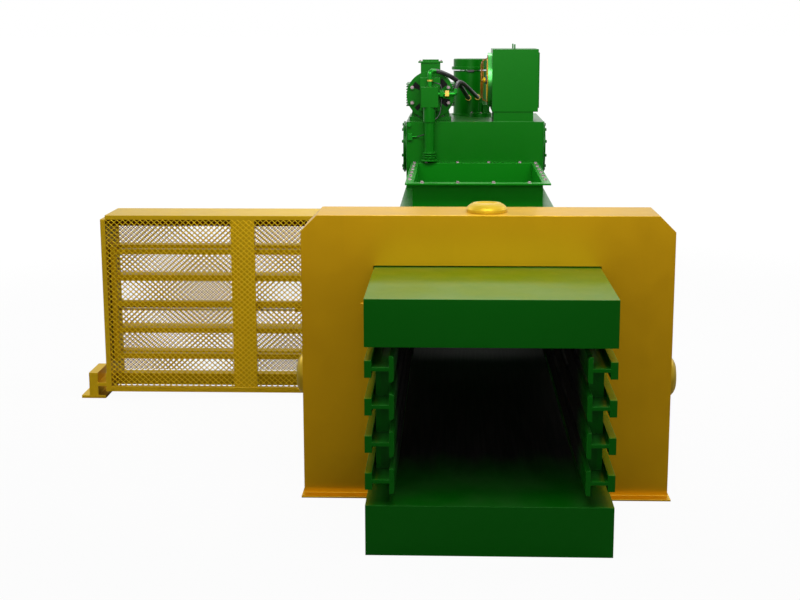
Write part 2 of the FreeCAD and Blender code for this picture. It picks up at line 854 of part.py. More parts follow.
# ------------------------------------------------------------ hopper collar
wall_out = D.hopper_inner_half + D.hopper_wall
flange_out = wall_out + D.hopper_flange_side
wall_y = (D.hopper_inner_front - D.hopper_wall, D.hopper_inner_rear + D.hopper_wall)
flange_y = (wall_y[0] - D.hopper_flange_end, wall_y[1] + D.hopper_flange_end)
flange_low = D.hopper_flange_top - D.hopper_flange_thick
hopper_hole = rectangle(both(D.hopper_inner_half), mouth_y)
hopper_wall = profile(
    "HopperWall", "z", [rectangle(both(wall_out), wall_y), hopper_hole], (D.press_top, flange_low + 1))
hopper_flange = profile(
    "HopperFlange", "z", [rectangle(both(flange_out), flange_y), hopper_hole],
    (flange_low, D.hopper_flange_top))
hopper_bolt_spots = []
end_rows = (flange_y[0] + D.hopper_flange_end / 2, flange_y[1] - D.hopper_flange_end / 2)
side_rows = (-wall_out - D.hopper_flange_side / 2, wall_out + D.hopper_flange_side / 2)
for i in range(4):
    for along in end_rows:
        hopper_bolt_spots.append((D.hopper_bolt_first + D.hopper_bolt_step * i, along))
for i in range(6):
    for across in side_rows:
        hopper_bolt_spots.append((across, D.hopper_side_bolt_first + D.hopper_side_bolt_step * i))
hopper_bolts = []
for i, spot in enumerate(hopper_bolt_spots):
    hopper_bolts.append(hexagon(
        "HopperBolt%d" % i, "z", spot, D.bolt_head_radius,
        (D.hopper_flange_top, D.hopper_flange_top + D.bolt_head_tall)))
node("hopper_collar", join("HopperCollar", [hopper_wall, hopper_flange]))
node("hopper_bolts", group("HopperBolts", hopper_bolts))

# ---------------------------------------------------- ram and main cylinder
ram_half = D.chamber_half - D.ram_side_play
ram_low = D.channel_floor_top + D.ram_under_play
ram_high = D.channel_ceiling - D.ram_top_play
ram_rear = D.press_rear - D.ram_rest_gap
ram_block = block("RamBlock", both(ram_half), (D.ram_face, ram_rear), (ram_low, ram_high))
ram_hollow = block(
    "RamHollow", both(ram_half - D.ram_plate), (D.ram_face + D.ram_face_thick, ram_rear + 5),
    (ram_low + D.ram_plate, ram_high - D.ram_plate))
knife_y = (D.ram_face, D.ram_face + D.knife_deep)
knife_z = (ram_high - D.knife_tall, ram_high)
knife_seat = block(
    "KnifeSeat", both(D.channel_outer_half), (D.ram_face - 5, knife_y[1]), (knife_z[0], ram_high + 5))
node("ram_box", cut("RamBox", ram_block, [ram_hollow, knife_seat]))
node("ram_knife", block("RamKnife", both(ram_half), knife_y, knife_z))
strips = []
for side, word in ((-1, "left"), (1, "right")):
    edges = sorted(
        (D.wear_strip_across * side, (D.wear_strip_across + D.wear_strip_wide) * side),
        key=lambda edge: edge.number)
    strips.append(block(
        "WearStrip" + word, edges, (D.ram_face + D.ram_face_thick, ram_rear),
        (D.channel_floor_top + D.wear_strip_play, ram_low)))
node("ram_wear_strips", group("WearStrips", strips))

main_axis = (0, D.barrel_front, D.cylinder_height)
gland_rear = D.gland_long
barrel_end = D.press_rear - D.barrel_front
main_barrel = turned("MainBarrel", "y", main_axis, [
    (D.barrel_bore, 0), (D.barrel_outer, 0), (D.barrel_outer, barrel_end), (0, barrel_end),
    (0, barrel_end - 5), (D.barrel_bore, barrel_end - 5)])
gland_bore = D.rod_radius + D.cylinder_play
main_gland = turned("MainGland", "y", main_axis, [
    (gland_bore, -12), (D.barrel_outer - 10, -12), (D.barrel_outer - 10, 0), (D.barrel_bore, 0),
    (D.barrel_bore, gland_rear), (gland_bore, gland_rear)])
node("main_cylinder", group("MainCylinder", [main_barrel, main_gland]))
piston_at = D.piston_front - D.barrel_front
rod_start = D.ram_face + D.ram_face_thick - D.barrel_front
piston_radius = D.barrel_bore - D.cylinder_play
node("ram_rod", turned("RamRod", "y", main_axis, [
    (0, rod_start), (D.rod_radius, rod_start), (D.rod_radius, piston_at), (piston_radius, piston_at),
    (piston_radius, piston_at + D.piston_long), (0, piston_at + D.piston_long)]))

# -------------------------------------------------------------- squeeze arch
arch_y = (D.arch_front, D.arch_front + D.arch_deep)
arch_mid = D.arch_front + D.arch_deep / 2
arch_inner = D.arch_inner
arch_under = D.lid_top + D.arch_play
weld_top = D.channel_floor_top - D.arch_weld_drop
shoulder = D.arch_top - D.arch_chamfer
corner = D.arch_half - D.arch_chamfer
arch_outline = [
    (-D.arch_half, D.foot_thick), (-D.arch_half, shoulder), (-corner, D.arch_top), (corner, D.arch_top),
    (D.arch_half, shoulder), (D.arch_half, D.foot_thick), (D.channel_outer_half, D.foot_thick),
    (D.channel_outer_half, weld_top), (arch_inner, weld_top), (arch_inner, arch_under),
    (-arch_inner, arch_under), (-arch_inner, weld_top), (-D.channel_outer_half, weld_top),
    (-D.channel_outer_half, D.foot_thick)]
arch_body = profile("ArchBody", "y", [arch_outline], arch_y)

# Each squeeze cylinder lies in a stepped bore from the outer face of the arch
# to the channel: axis, turn, outer face and inner face.
squeezes = {
    "left": ("x", (arch_mid, D.squeeze_height), -D.arch_half, -arch_inner, -1),
    "right": ("x", (arch_mid, D.squeeze_height), D.arch_half, arch_inner, 1),
    "top": ("z", (as_size(0), arch_mid), D.arch_top, arch_under, 1),
}
arch_bores = []
squeeze_barrels = []
squeeze_caps = []
for word, (axis, centre, outer, inner, sense) in squeezes.items():
    def span(a, b):
        """The two distances, measured inwards from the outer face, in rising order."""
        ends = (outer - a * sense, outer - b * sense)
        return tuple(sorted(ends, key=lambda end: end.number))

    depth = (outer - inner) * sense
    barrel_gap = D.squeeze_barrel_gap if word != "top" else D.squeeze_pad_thick + 20
    squeeze_long = depth - barrel_gap
    touch = depth + D.arch_play - D.squeeze_pad_play
    pad_back = touch - D.squeeze_pad_thick
    recess_start = pad_back - D.pad_recess_play
    arch_bores.append(rod(
        "ArchBore" + word, axis, centre, D.squeeze_barrel + D.hinge_play, span(as_size(-5), squeeze_long)))
    arch_bores.append(rod(
        "ArchThroat" + word, axis, centre, D.squeeze_rod + D.hinge_gap, span(squeeze_long - 5, depth + 5)))
    arch_bores.append(rod(
        "ArchRecess" + word, axis, centre, D.squeeze_pad + D.pad_recess_play, span(recess_start, depth + 5)))
    barrel_block = rod("SqueezeBarrel" + word, axis, centre, D.squeeze_barrel, span(as_size(0), squeeze_long))
    barrel_bore = rod(
        "SqueezeBore" + word, axis, centre, D.squeeze_bore, span(as_size(20), squeeze_long - 60))
    barrel_mouth = rod(
        "SqueezeMouth" + word, axis, centre, D.squeeze_rod + D.cylinder_play,
        span(squeeze_long - 65, squeeze_long + 5))
    squeeze_barrels.append(cut("SqueezeCylinder" + word, barrel_block, [barrel_bore, barrel_mouth]))
    shaft = rod("SqueezeShaft" + word, axis, centre, D.squeeze_rod, span(as_size(60), touch - 5))
    piston = rod(
        "SqueezePiston" + word, axis, centre, D.squeeze_bore - D.cylinder_play,
        span(as_size(40), as_size(90)))
    pad = rod("SqueezePad" + word, axis, centre, D.squeeze_pad, span(pad_back, touch))
    node("squeeze_rod_" + word, join("SqueezeRod" + word, [shaft, piston, pad]))

    # Domed cap over the closed end of the cylinder, with a flat ring on its crown.
    rise, ring = D.cap_tall, D.cap_ring
    cap_corners = [
        (0, 0), (D.cap_radius, 0), (D.cap_radius, rise * 0.3), (D.cap_radius - 8, rise * 0.58),
        (D.cap_radius - 24, rise * 0.82), (D.cap_radius - 44, rise), (ring, rise), (ring - 7, rise * 0.86),
        (0, rise * 0.86)]
    turn = {"left": "-x", "right": "x", "top": "z"}[word]
    spot = start_point(axis, centre, outer)
    squeeze_caps.append(turned("SqueezeCap" + word, turn, spot, cap_corners))

node("squeeze_barrels", group("SqueezeBarrels", squeeze_barrels))
node("squeeze_caps", group("SqueezeCaps", squeeze_caps))
tab = block(
    "ArchTab", (D.tab_left, D.tab_left + D.tab_wide), (D.arch_front - D.tab_deep, D.arch_front + 2),
    (D.tab_low, D.tab_low + D.tab_tall))
feet = []
for side, word in ((-1, "left"), (1, "right")):
    edges = sorted((D.channel_outer_half * side, D.foot_out * side), key=lambda edge: edge.number)
    feet.append(block("ArchFoot" + word, edges, (D.foot_front, D.foot_rear), (0, D.foot_thick)))
node("squeeze_arch", join("SqueezeArch", [cut("Arch", arch_body, arch_bores), tab] + feet))

# --------------------------------------------------------------- needle cage
cage_inside = D.cage_left + D.cage_end_thick
inner_plate_left = D.cage_right - D.cage_inner_thick
slot_heights = [
    (D.channel_floor_top + rail_heights[0] - half_tooth) / 2,
    (rail_heights[0] + rail_heights[1]) / 2,
    (rail_heights[1] + rail_heights[2]) / 2,
    (rail_heights[2] + rail_heights[3]) / 2,
    (D.channel_ceiling + rail_heights[3] + half_tooth) / 2,
]
needle_y = (D.needle_front, D.needle_front + D.needle_deep)
cage_plate_low = D.cage_top - D.cage_top_thick

cage_top = block(
    "CageTop", (cage_inside, D.cage_right), (D.cage_front, D.cage_back), (cage_plate_low, D.cage_top))
cage_end = block(
    "CageEnd", (D.cage_left, cage_inside), (D.cage_front, D.cage_back), (D.cage_low, cage_plate_low + 3))
inner_plate = block(
    "CageInner", (inner_plate_left, D.cage_right), (D.cage_front + D.cage_mesh_thick, D.cage_back_mesh),
    (D.cage_low, cage_plate_low))
inner_slots = []
for k, height in enumerate(slot_heights):
    inner_slots.append(block(
        "CageSlot%d" % k, (inner_plate_left - 5, D.cage_right + 5),
        (needle_y[0] - 8, needle_y[1] + 8), (height - D.needle_tall / 2 - 6, height + D.needle_tall / 2 + 6)))
cage_inner = cut("CageInnerPlate", inner_plate, inner_slots)
node("cage_plates", group("CagePlates", [cage_top, cage_end, cage_inner]))
bottom_bar = block(
    "CageBottomBar", (cage_inside, inner_plate_left), (D.cage_front, D.cage_front + D.cage_bar_deep),
    (D.cage_low, D.cage_low + D.cage_bar_tall))
mesh_low = D.cage_low + D.cage_bar_tall
post_front = D.cage_front + D.cage_mesh_thick
middle_post = block(
    "CageMiddlePost", (D.cage_post_left, D.cage_post_left + D.cage_post_wide),
    (post_front, post_front + D.cage_post_deep), (mesh_low, cage_plate_low))
node("cage_front_frame", group("CageFrontFrame", [bottom_bar, middle_post]))
rails = []
rail_tops = (D.cage_rail_top_0, D.cage_rail_top_1, D.cage_rail_top_2, D.cage_rail_top_3, D.cage_rail_top_4)
for k, top in enumerate(rail_tops):
    rails.append(block(
        "CageRail%d" % k, (cage_inside, inner_plate_left),
        (D.cage_rail_front, D.cage_rail_front + D.cage_rail_deep), (top - D.cage_rail_tall, top)))
rails.append(block(
    "CageBeam", (cage_inside, inner_plate_left),
    (D.cage_rail_front, D.cage_rail_front + D.cage_rail_deep),
    (D.cage_beam_low, D.cage_beam_low + D.cage_beam_tall)))
node("cage_rear_rails", group("CageRails", rails))


def diamond_net(name, x, z, y):
    """A flat sheet between two frame edges, opened by staggered diamonds."""
    left, right = (as_size(edge).number for edge in x)
    low, high = (as_size(edge).number for edge in z)
    front, back = (as_size(edge).number for edge in y)
    strand = D.mesh_strand.number
    columns = max(2, round((right - left - strand) / D.mesh_gap_wide.number))
    rows = max(2, round((high - low - strand) / D.mesh_gap_tall.number))
    wide = (right - left - strand) / columns
    tall = (high - low - strand) / rows
    slope = strand / 2 * math.hypot(wide, tall)
    half_wide = wide / 2 - slope / tall
    half_tall = tall / 2 - slope / wide
    loops = []
    for i in range(2 * columns - 1):
        for k in range(2 * rows - 1):
            if (i + k) % 2:
                continue
            x0 = left + strand / 2 + wide * (i + 1) / 2
            z0 = low + strand / 2 + tall * (k + 1) / 2
            tips = [(x0 - half_wide, z0), (x0, z0 - half_tall), (x0 + half_wide, z0), (x0, z0 + half_tall)]
            tips = [FreeCAD.Vector(a, front, b) for a, b in tips]
            loops.append(Part.makePolygon(tips + tips[:1]))
    rim = [(left, low), (right, low), (right, high), (left, high)]
    rim = [FreeCAD.Vector(a, front, b) for a, b in rim]
    sheet_face = Part.makeFace([Part.makePolygon(rim + rim[:1])] + loops, "Part::FaceMakerBullseye")
    print(name, "gaps", len(loops))
    return solid_feature(name, sheet_face.extrude(FreeCAD.Vector(0, back - front, 0)))


node("cage_front_mesh", diamond_net(
    "CageFrontMesh", (cage_inside, inner_plate_left), (mesh_low, cage_plate_low),
    (D.cage_front, D.cage_front + D.cage_mesh_thick)))
node("cage_back_mesh", diamond_net(
    "CageBackMesh", (cage_inside, inner_plate_left), (D.cage_beam_low + D.cage_beam_tall, cage_plate_low),
    (D.cage_back_mesh, D.cage_back_mesh + D.cage_mesh_thick)))

foot_pieces = [
    block("CageFootBase", (D.foot_base_left, D.foot_base_right), (D.cage_front, D.foot_base_rear),
          (0, D.foot_base_thick)),
    block("CageFootFlange", (D.foot_flange_left, D.foot_flange_left + D.foot_flange_thick),
          (D.cage_front, D.foot_base_rear), (D.foot_base_thick, D.foot_flange_top)),
    block("CageFootWeb", (D.foot_flange_left + D.foot_flange_thick - 2, D.cage_left),
          (D.cage_front, D.foot_base_rear), (D.foot_web_low, D.foot_web_low + D.foot_web_thick)),
    block("CageFootPlate", (D.cage_left - 8, D.cage_left), (D.cage_front, D.foot_base_rear),
          (D.cage_low, D.foot_flange_top)),
]
node("cage_foot", join("CageFoot", foot_pieces))

# Five needles on one carriage: flat bars with a tapered nose and a wire eye.
needles = []
for k, height in enumerate(slot_heights):
    low, high = height - D.needle_tall / 2, height + D.needle_tall / 2
    outline = [
        (D.needle_tail, needle_y[0]), (D.needle_tip - D.needle_taper, needle_y[0]),
        (D.needle_tip, needle_y[0] + D.needle_deep * 0.35),
        (D.needle_tip, needle_y[0] + D.needle_deep * 0.65),
        (D.needle_tip - D.needle_taper, needle_y[1]), (D.needle_tail, needle_y[1])]
    bar = profile("Needle%d" % k, "z", [outline], (low, high))
    eye = rod(
        "NeedleEye%d" % k, "z", (D.needle_tip - 30, needle_y[0] + D.needle_deep / 2), D.needle_eye,
        (low - 2, high + 2))
    needles.append(cut("NeedleBar%d" % k, bar, [eye]))
node("needles", group("Needles", needles))
carriage_x = (D.needle_tail - 2, D.needle_tail + D.carriage_thick)
carriage_block = block(
    "CarriageBlock", carriage_x, (needle_y[0] - 12, D.carriage_back),
    (slot_heights[0] - D.needle_tall / 2 - 20, slot_heights[4] + D.needle_tall / 2 + 20))
carriage_seats = []
for k, height in enumerate(slot_heights):
    carriage_seats.append(block(
        "CarriageSeat%d" % k, (D.needle_tail, carriage_x[1] + 5), needle_y,
        (height - D.needle_tall / 2, height + D.needle_tall / 2)))
node("needle_carriage", cut("NeedleCarriage", carriage_block, carriage_seats))

# Two-stage cylinder that draws the carriage towards the channel.
pull = (D.pull_cylinder_along, slot_heights[2] - D.pull_cylinder_drop)
pull_barrel = rod("PullBarrel", "x", pull, D.pull_barrel, (D.pull_barrel_end, inner_plate_left))
pull_bore = rod(
    "PullBore", "x", pull, D.pull_stage + D.cylinder_play,
    (D.pull_barrel_end - 5, inner_plate_left - D.pull_end_wall))
node("needle_cylinder_barrel", cut("NeedleCylinderBarrel", pull_barrel, [pull_bore]))
stage_in = 45
pull_stage = rod("PullStage", "x", pull, D.pull_stage, (D.pull_stage_end, D.pull_barrel_end + stage_in))
stage_bore = rod(
    "StageBore", "x", pull, D.pull_rod + D.cylinder_play,
    (D.pull_stage_end - 5, D.pull_barrel_end + stage_in - 8))
node("needle_cylinder_stage", cut("NeedleCylinderStage", pull_stage, [stage_bore]))
node("needle_cylinder_rod", rod(
    "PullRod", "x", pull, D.pull_rod, (carriage_x[1], D.pull_stage_end + stage_in)))

# Closed housing of the wire twisters, with one mouth for each needle.
twister_reach = D.needle_tall / 2 + D.twister_margin
twister_box = block(
    "TwisterBox", (D.twister_left, D.twister_left + D.twister_wide), (D.twister_front, D.twister_rear),
    (slot_heights[0] - twister_reach, slot_heights[4] + twister_reach))
twister_mouths = []
for k, height in enumerate(slot_heights):
    twister_mouths.append(block(
        "TwisterMouth%d" % k, (D.twister_left - 5, D.twister_left + D.twister_mouth),
        (needle_y[0] - 10, needle_y[1] + 10),
        (height - D.needle_tall / 2 - 5, height + D.needle_tall / 2 + 5)))
node("twister_housing", cut("TwisterHousing", twister_box, twister_mouths))

# ------------------------------------------------------------------ oil tank
tank_body = profile(
    "TankBody", "z", [rectangle(both(D.tank_half), (D.tank_front, D.tank_rear))], (D.press_top, D.tank_top))
doc.recompute()
tank_pad = tank_body.Tip
uprights = []
for i, edge in enumerate(tank_pad.Shape.Edges, start=1):
    ends = [vertex.Point for vertex in edge.Vertexes]
    if abs(ends[0].x - ends[1].x) < 0.1 and abs(ends[0].y - ends[1].y) < 0.1:
        uprights.append("Edge%d" % i)
tank_round = tank_body.newObject("PartDesign::Fillet", "TankCorners")
tank_round.Base = (tank_pad, uprights)
bind(tank_round, "Radius", D.tank_corner)
tank_body.Tip = tank_round
node("oil_tank", tank_body)

covers = []
cover_bolts = []
for side, word in ((-1, "left"), (1, "right")):
    turn = "x" if side > 0 else "-x"
    spot = (D.tank_half * side, D.manway_along, D.manway_height)
    lip_start, lip_end = D.manway_neck_long, D.manway_neck_long + D.manway_thick
    covers.append(turned("ManwayCover" + word, turn, spot, [
        (0, 0), (D.manway_neck, 0), (D.manway_neck, lip_start), (D.manway_radius, lip_start),
        (D.manway_radius, lip_end - 4), (D.manway_radius - 4, lip_end), (0, lip_end)]))
    face = (D.tank_half + D.manway_neck_long + D.manway_thick) * side
    for i in range(SIZES["manway_bolt_count"]):
        angle = 2 * math.pi * (i + 0.5) / SIZES["manway_bolt_count"]
        centre = (
            D.manway_along + D.manway_bolt_circle * math.cos(angle),
            D.manway_height + D.manway_bolt_circle * math.sin(angle))
        ends = sorted((face, face + D.bolt_head_tall * side), key=lambda end: end.number)
        cover_bolts.append(hexagon("CoverBolt%s%d" % (word, i), "x", centre, D.bolt_head_radius, ends))
node("manway_covers", group("ManwayCovers", covers))
node("manway_bolts", group("ManwayBolts", cover_bolts))

# --------------------------------------------------------------------- motor
motor_centre = (D.motor_across, D.motor_height)
motor_rear = D.motor_front + D.motor_long


def shaft_hole(name, span):
    return rod(name, "y", motor_centre, D.motor_shaft + D.shaft_play, span)


cowl_inner = D.cowl_radius - D.cowl_wall
motor_parts = [
    rod("MotorShell", "y", motor_centre, D.motor_radius, (D.motor_front, motor_rear)),
    rod("MotorRearShield", "y", motor_centre, cowl_inner, (motor_rear - D.cowl_seat, motor_rear)),
]
for i in range(SIZES["fin_count"]):
    level = D.motor_height + D.fin_step * (i - (SIZES["fin_count"] - 1) / 2)
    motor_parts.append(block(
        "MotorFin%d" % i, (D.motor_across - D.fin_reach, D.motor_across + D.fin_reach),
        (D.motor_front + 20, motor_rear - 20), (level - D.fin_thick / 2, level + D.fin_thick / 2)))
motor_joined = join("MotorJoined", motor_parts)
node("motor_body", cut("MotorBody", motor_joined, [
    shaft_hole("MotorShaftHole", (D.motor_front - 5, motor_rear + 5))]))

bell_y = (D.motor_front - D.bell_thick, D.motor_front)
bell_parts = [rod("BellDisc", "y", motor_centre, D.bell_radius, bell_y)]
for across in (-D.lobe_across, D.lobe_across):
    for rise in (-D.lobe_height, D.lobe_height):
        name = "BellLobe%d%d" % (across.number, rise.number)
        name = name.replace("-", "m")
        centre = (D.motor_across + across, D.motor_height + rise)
        bell_parts.append(rod(name, "y", centre, D.lobe_radius, (bell_y[0] - 22, bell_y[1])))
bell_joined = join("BellJoined", bell_parts)
motor_bell = cut("MotorBell", bell_joined, [shaft_hole("BellHole", (bell_y[0] - 30, bell_y[1] + 5))])

cowl_end = motor_rear + D.cowl_long
cowl_parts = rod("CowlShell", "y", motor_centre, D.cowl_radius, (motor_rear - D.cowl_seat, cowl_end))
cowl_tools = [rod(
    "CowlHollow", "y", motor_centre, cowl_inner, (motor_rear - D.cowl_seat - 5, cowl_end - D.cowl_wall))]
for i in range(-3, 4):
    half = D.cowl_radius * (0.78 if abs(i) < 2 else 0.6 if abs(i) < 3 else 0.42)
    level = D.motor_height + D.fin_step * 2 * i
    cowl_tools.append(block(
        "CowlSlot%s%d" % ("m" if i < 0 else "p", abs(i)), (D.motor_across - half, D.motor_across + half),
        (cowl_end - D.cowl_wall - 5, cowl_end + 5), (level - 11, level + 11)))
node("motor_end_covers", group("MotorEndCovers", [motor_bell, cut("MotorCowl", cowl_parts, cowl_tools)]))

shaft_front = D.adapter_front + 30
motor_shaft = rod(
    "MotorShaft", "y", motor_centre, D.motor_shaft, (shaft_front, cowl_end - D.cowl_wall - 30))
fan_y = (motor_rear + 20, motor_rear + 80)
blower = [rod("BlowerHub", "y", motor_centre, D.motor_shaft + 24, fan_y)]
blade_half = cowl_inner - 16
for i in range(4):
    blade = block(
        "BlowerBlade%d" % i, both(blade_half), (0, fan_y[1] - fan_y[0]), (as_size(-4), as_size(4)))
    holder = doc.addObject("Part::Compound", "BlowerTurn%d" % i)
    holder.Links = [blade]
    holder.Placement = FreeCAD.Placement(
        FreeCAD.Vector(), FreeCAD.Rotation(FreeCAD.Vector(0, 1, 0), 45 * i))
    place(holder, D.motor_across, fan_y[0], D.motor_height)
    blower.append(holder)
node("motor_rotor", join("MotorRotor", [motor_shaft] + blower))

terminal_y = (D.terminal_front, D.terminal_front + D.terminal_deep)
terminal_block = block(
    "TerminalBlock", (D.motor_across - D.terminal_half, D.motor_across + D.terminal_half), terminal_y,
    (D.motor_height + D.motor_radius / 2, D.terminal_top))
terminal_saddle = rod(
    "TerminalSaddle", "y", motor_centre, D.motor_radius, (terminal_y[0] - 5, terminal_y[1] + 5))
lip = D.terminal_half + D.terminal_lip
terminal_lid = block(
    "TerminalLid", (D.motor_across - lip, D.motor_across + lip),
    (terminal_y[0] - D.terminal_lip / 2, terminal_y[1] + D.terminal_lip / 2),
    (D.terminal_top, D.terminal_top + D.terminal_lid_thick))
terminal_cap = block(
    "TerminalCap", (D.motor_across - D.terminal_cap_half, D.motor_across + D.terminal_cap_half),
    (terminal_y[0] + 25, terminal_y[1] - 25),
    (D.terminal_top + D.terminal_lid_thick - 2, D.terminal_top + D.terminal_lid_thick + D.terminal_cap_thick))
node("terminal_box", group("TerminalBox", [
    cut("TerminalCase", terminal_block, [terminal_saddle]),
    join("TerminalCover", [terminal_lid, terminal_cap])]))

base_y = (D.motor_base_front, D.motor_base_rear)
motor_feet = [block(
    "MotorBase", (D.motor_across - D.motor_base_half, D.motor_across + D.motor_base_half), base_y,
    (D.tank_top, D.motor_base_top))]
for side, word in ((-1, "left"), (1, "right")):
    out = D.motor_across + D.motor_leg_out * side
    near = D.motor_across + (D.motor_leg_out - D.motor_leg_thick) * side
    top_out = D.motor_across + (D.motor_leg_out - 22) * side
    motor_feet.append(profile("MotorLeg" + word, "y", [[
        (out, D.motor_base_top - 2), (top_out, D.motor_leg_top), (near, D.motor_leg_top + 30),
        (near, D.motor_base_top - 2)]], (D.motor_front + 40, D.motor_front + D.motor_long - 120)))
feet_joined = join("MotorFeetJoined", motor_feet)
node("motor_feet", cut("MotorFeet", feet_joined, [
    rod("MotorCradle", "y", motor_centre, D.motor_radius, (D.motor_front - 20, motor_rear + 20))]))

# ---------------------------------------------------------------- pump group
adapter_rear = D.motor_front - D.bell_thick
adapter_block = block(
    "AdapterBlock", (D.motor_across - D.adapter_half, D.motor_across + D.adapter_half),
    (D.adapter_front, adapter_rear), (D.adapter_low, D.adapter_top))
pump_adapter = cut("PumpAdapter", adapter_block, [
    shaft_hole("AdapterHole", (shaft_front - 4, adapter_rear + 5))])
pump_x = (D.motor_across - D.pump_half, D.motor_across + D.pump_half)
pump_case = block("PumpCase", pump_x, (D.pump_front, D.adapter_front), (D.pump_low, D.pump_top))
node("pump", group("Pump", [pump_adapter, pump_case]))

# Suction line: collar, pipe, ribbed joint, flared foot and the branch to the tank.
ridge = (D.bellows_top - D.bellows_low) / 6
suction_corners = [
    (0, D.flare_low), (D.flare_radius, D.flare_low), (D.flare_radius, D.flare_low + 12),
    (D.bellows_neck, D.bellows_low)]
for i in range(3):
    base_height = D.bellows_low + ridge * 2 * i
    suction_corners += [
        (D.bellows_radius, base_height + ridge * 0.5), (D.bellows_radius, base_height + ridge * 1.5),
        (D.bellows_neck, base_height + ridge * 2)]
suction_corners += [
    (D.suction_radius, D.bellows_top + 4), (D.suction_radius, D.tank_top + 3),
    (D.suction_collar, D.tank_top + 3), (D.suction_collar, D.pump_low), (0, D.pump_low)]
suction_stem = turned("SuctionStem", "z", (D.suction_across, D.suction_along, 0), suction_corners)
suction_branch = rod(
    "SuctionBranch", "y", (D.suction_across, D.suction_branch_height), D.suction_branch,
    (D.suction_along, D.tank_front))
node("suction_pipe", join("SuctionPipe", [suction_stem, suction_branch]))

port = (D.side_port_along, D.side_port_height)
port_start = pump_x[1]
side_valve = [
    rod("SidePort", "x", port, D.side_port_radius, (port_start, D.side_hex_left + 2)),
    hexagon("SideHex", "x", port, D.side_hex_radius, (D.side_hex_left, D.side_hex_left + D.side_hex_long)),
    rod("SideStub", "x", port, D.side_port_radius - 4, (
        D.side_hex_left + D.side_hex_long - 2, D.side_nut_left)),
]

# Two bent steel pipes lead from the pump to the hoses.
bend = D.delivery_bend.number
rise_start = vector(D.motor_across, D.delivery_along, D.pump_top)
heading = FreeCAD.Vector(0.585, 0.811, 0).normalize()
rise_top = vector(D.motor_across, D.delivery_along, D.pump_top + D.delivery_rise + D.delivery_bend)
hose_one_start = rise_top + heading * (bend * 1.35)
elbow_one = tube_along("delivery elbow", [rise_start, rise_top, hose_one_start], D.delivery_radius.number)
side_start = vector(D.side_nut_left + D.side_nut_long, D.side_port_along, D.side_port_height)
side_corner = side_start + FreeCAD.Vector(62, 0, 0)
lean = FreeCAD.Vector(0.1, 0.75, 0.65).normalize()
hose_two_start = side_corner + lean * 62
elbow_two = tube_along("side elbow", [side_start, side_corner, hose_two_start], D.delivery_radius.number - 2)
node("delivery_fittings", group("DeliveryFittings", [
    join("SideValve", side_valve), solid_feature("ElbowOne", elbow_one),
    solid_feature("ElbowTwo", elbow_two)]))

port_one = vector(D.filter_across - D.port_one_offset, D.filter_along, D.tank_top + D.port_one_rise)
port_two = vector(D.filter_across + D.port_two_offset, D.filter_along, D.tank_top + D.port_two_rise)
for spot in (port_one, port_two):
    offset = abs(spot.x - D.filter_across.number)
    spot.y = D.filter_along.number - math.sqrt(D.filter_radius.number ** 2 - offset ** 2) - 6


def way(start, end, across, along, up):
    """A point of a hose, as shares of the way between its two ends."""
    run = end - start
    return start + FreeCAD.Vector(run.x * across, run.y * along, run.z * up)


hose_one = tube_along("hose one", [
    hose_one_start, hose_one_start + heading * 70,
    way(hose_one_start, port_one, 0.622, 0.182, 0.275), way(hose_one_start, port_one, 0.80, 0.431, 0.619),
    way(hose_one_start, port_one, 0.944, 0.664, 0.90), way(hose_one_start, port_one, 1, 0.847, 1),
    port_one], D.hose_radius.number)
hose_two = tube_along("hose two", [
    hose_two_start, hose_two_start + lean * 95,
    way(hose_two_start, port_two, 0.229, 0.22, -0.65), way(hose_two_start, port_two, 0.573, 0.447, 0.052),
    way(hose_two_start, port_two, 0.861, 0.655, 0.657), way(hose_two_start, port_two, 1, 0.844, 1),
    port_two], D.hose_radius.number - 2)
node("pressure_hoses", group("PressureHoses", [
    solid_feature("HoseOne", hose_one), solid_feature("HoseTwo", hose_two)]))

ring_low = D.pump_top + 55
ring_block = rod(
    "RingOne", "z", (D.motor_across, D.delivery_along), D.ferrule_radius,
    (ring_low, ring_low + D.ferrule_long))
ring_hole = rod(
    "RingOneHole", "z", (D.motor_across, D.delivery_along), D.delivery_radius,
    (ring_low - 5, ring_low + D.ferrule_long + 5))
fittings = [
    cut("RingOneTube", ring_block, [ring_hole]),
    hexagon("SideNut", "x", port, D.side_nut_radius, (D.side_nut_left, D.side_nut_left + D.side_nut_long)),
]
for i, (spot, radius) in enumerate(((port_one, D.hose_radius), (port_two, D.hose_radius - 2))):
    collar = Part.makeCylinder(
        D.ferrule_radius.number, D.ferrule_long.number, spot - FreeCAD.Vector(0, 20, 0),
        FreeCAD.Vector(0, 1, 0))
    bore = Part.makeCylinder(
        radius.number, D.ferrule_long.number + 20, spot - FreeCAD.Vector(0, 30, 0), FreeCAD.Vector(0, 1, 0))
    fittings.append(solid_feature("HoseFerrule%d" % i, collar.cut(bore)))
node("brass_fittings", group("BrassFittings", fittings))

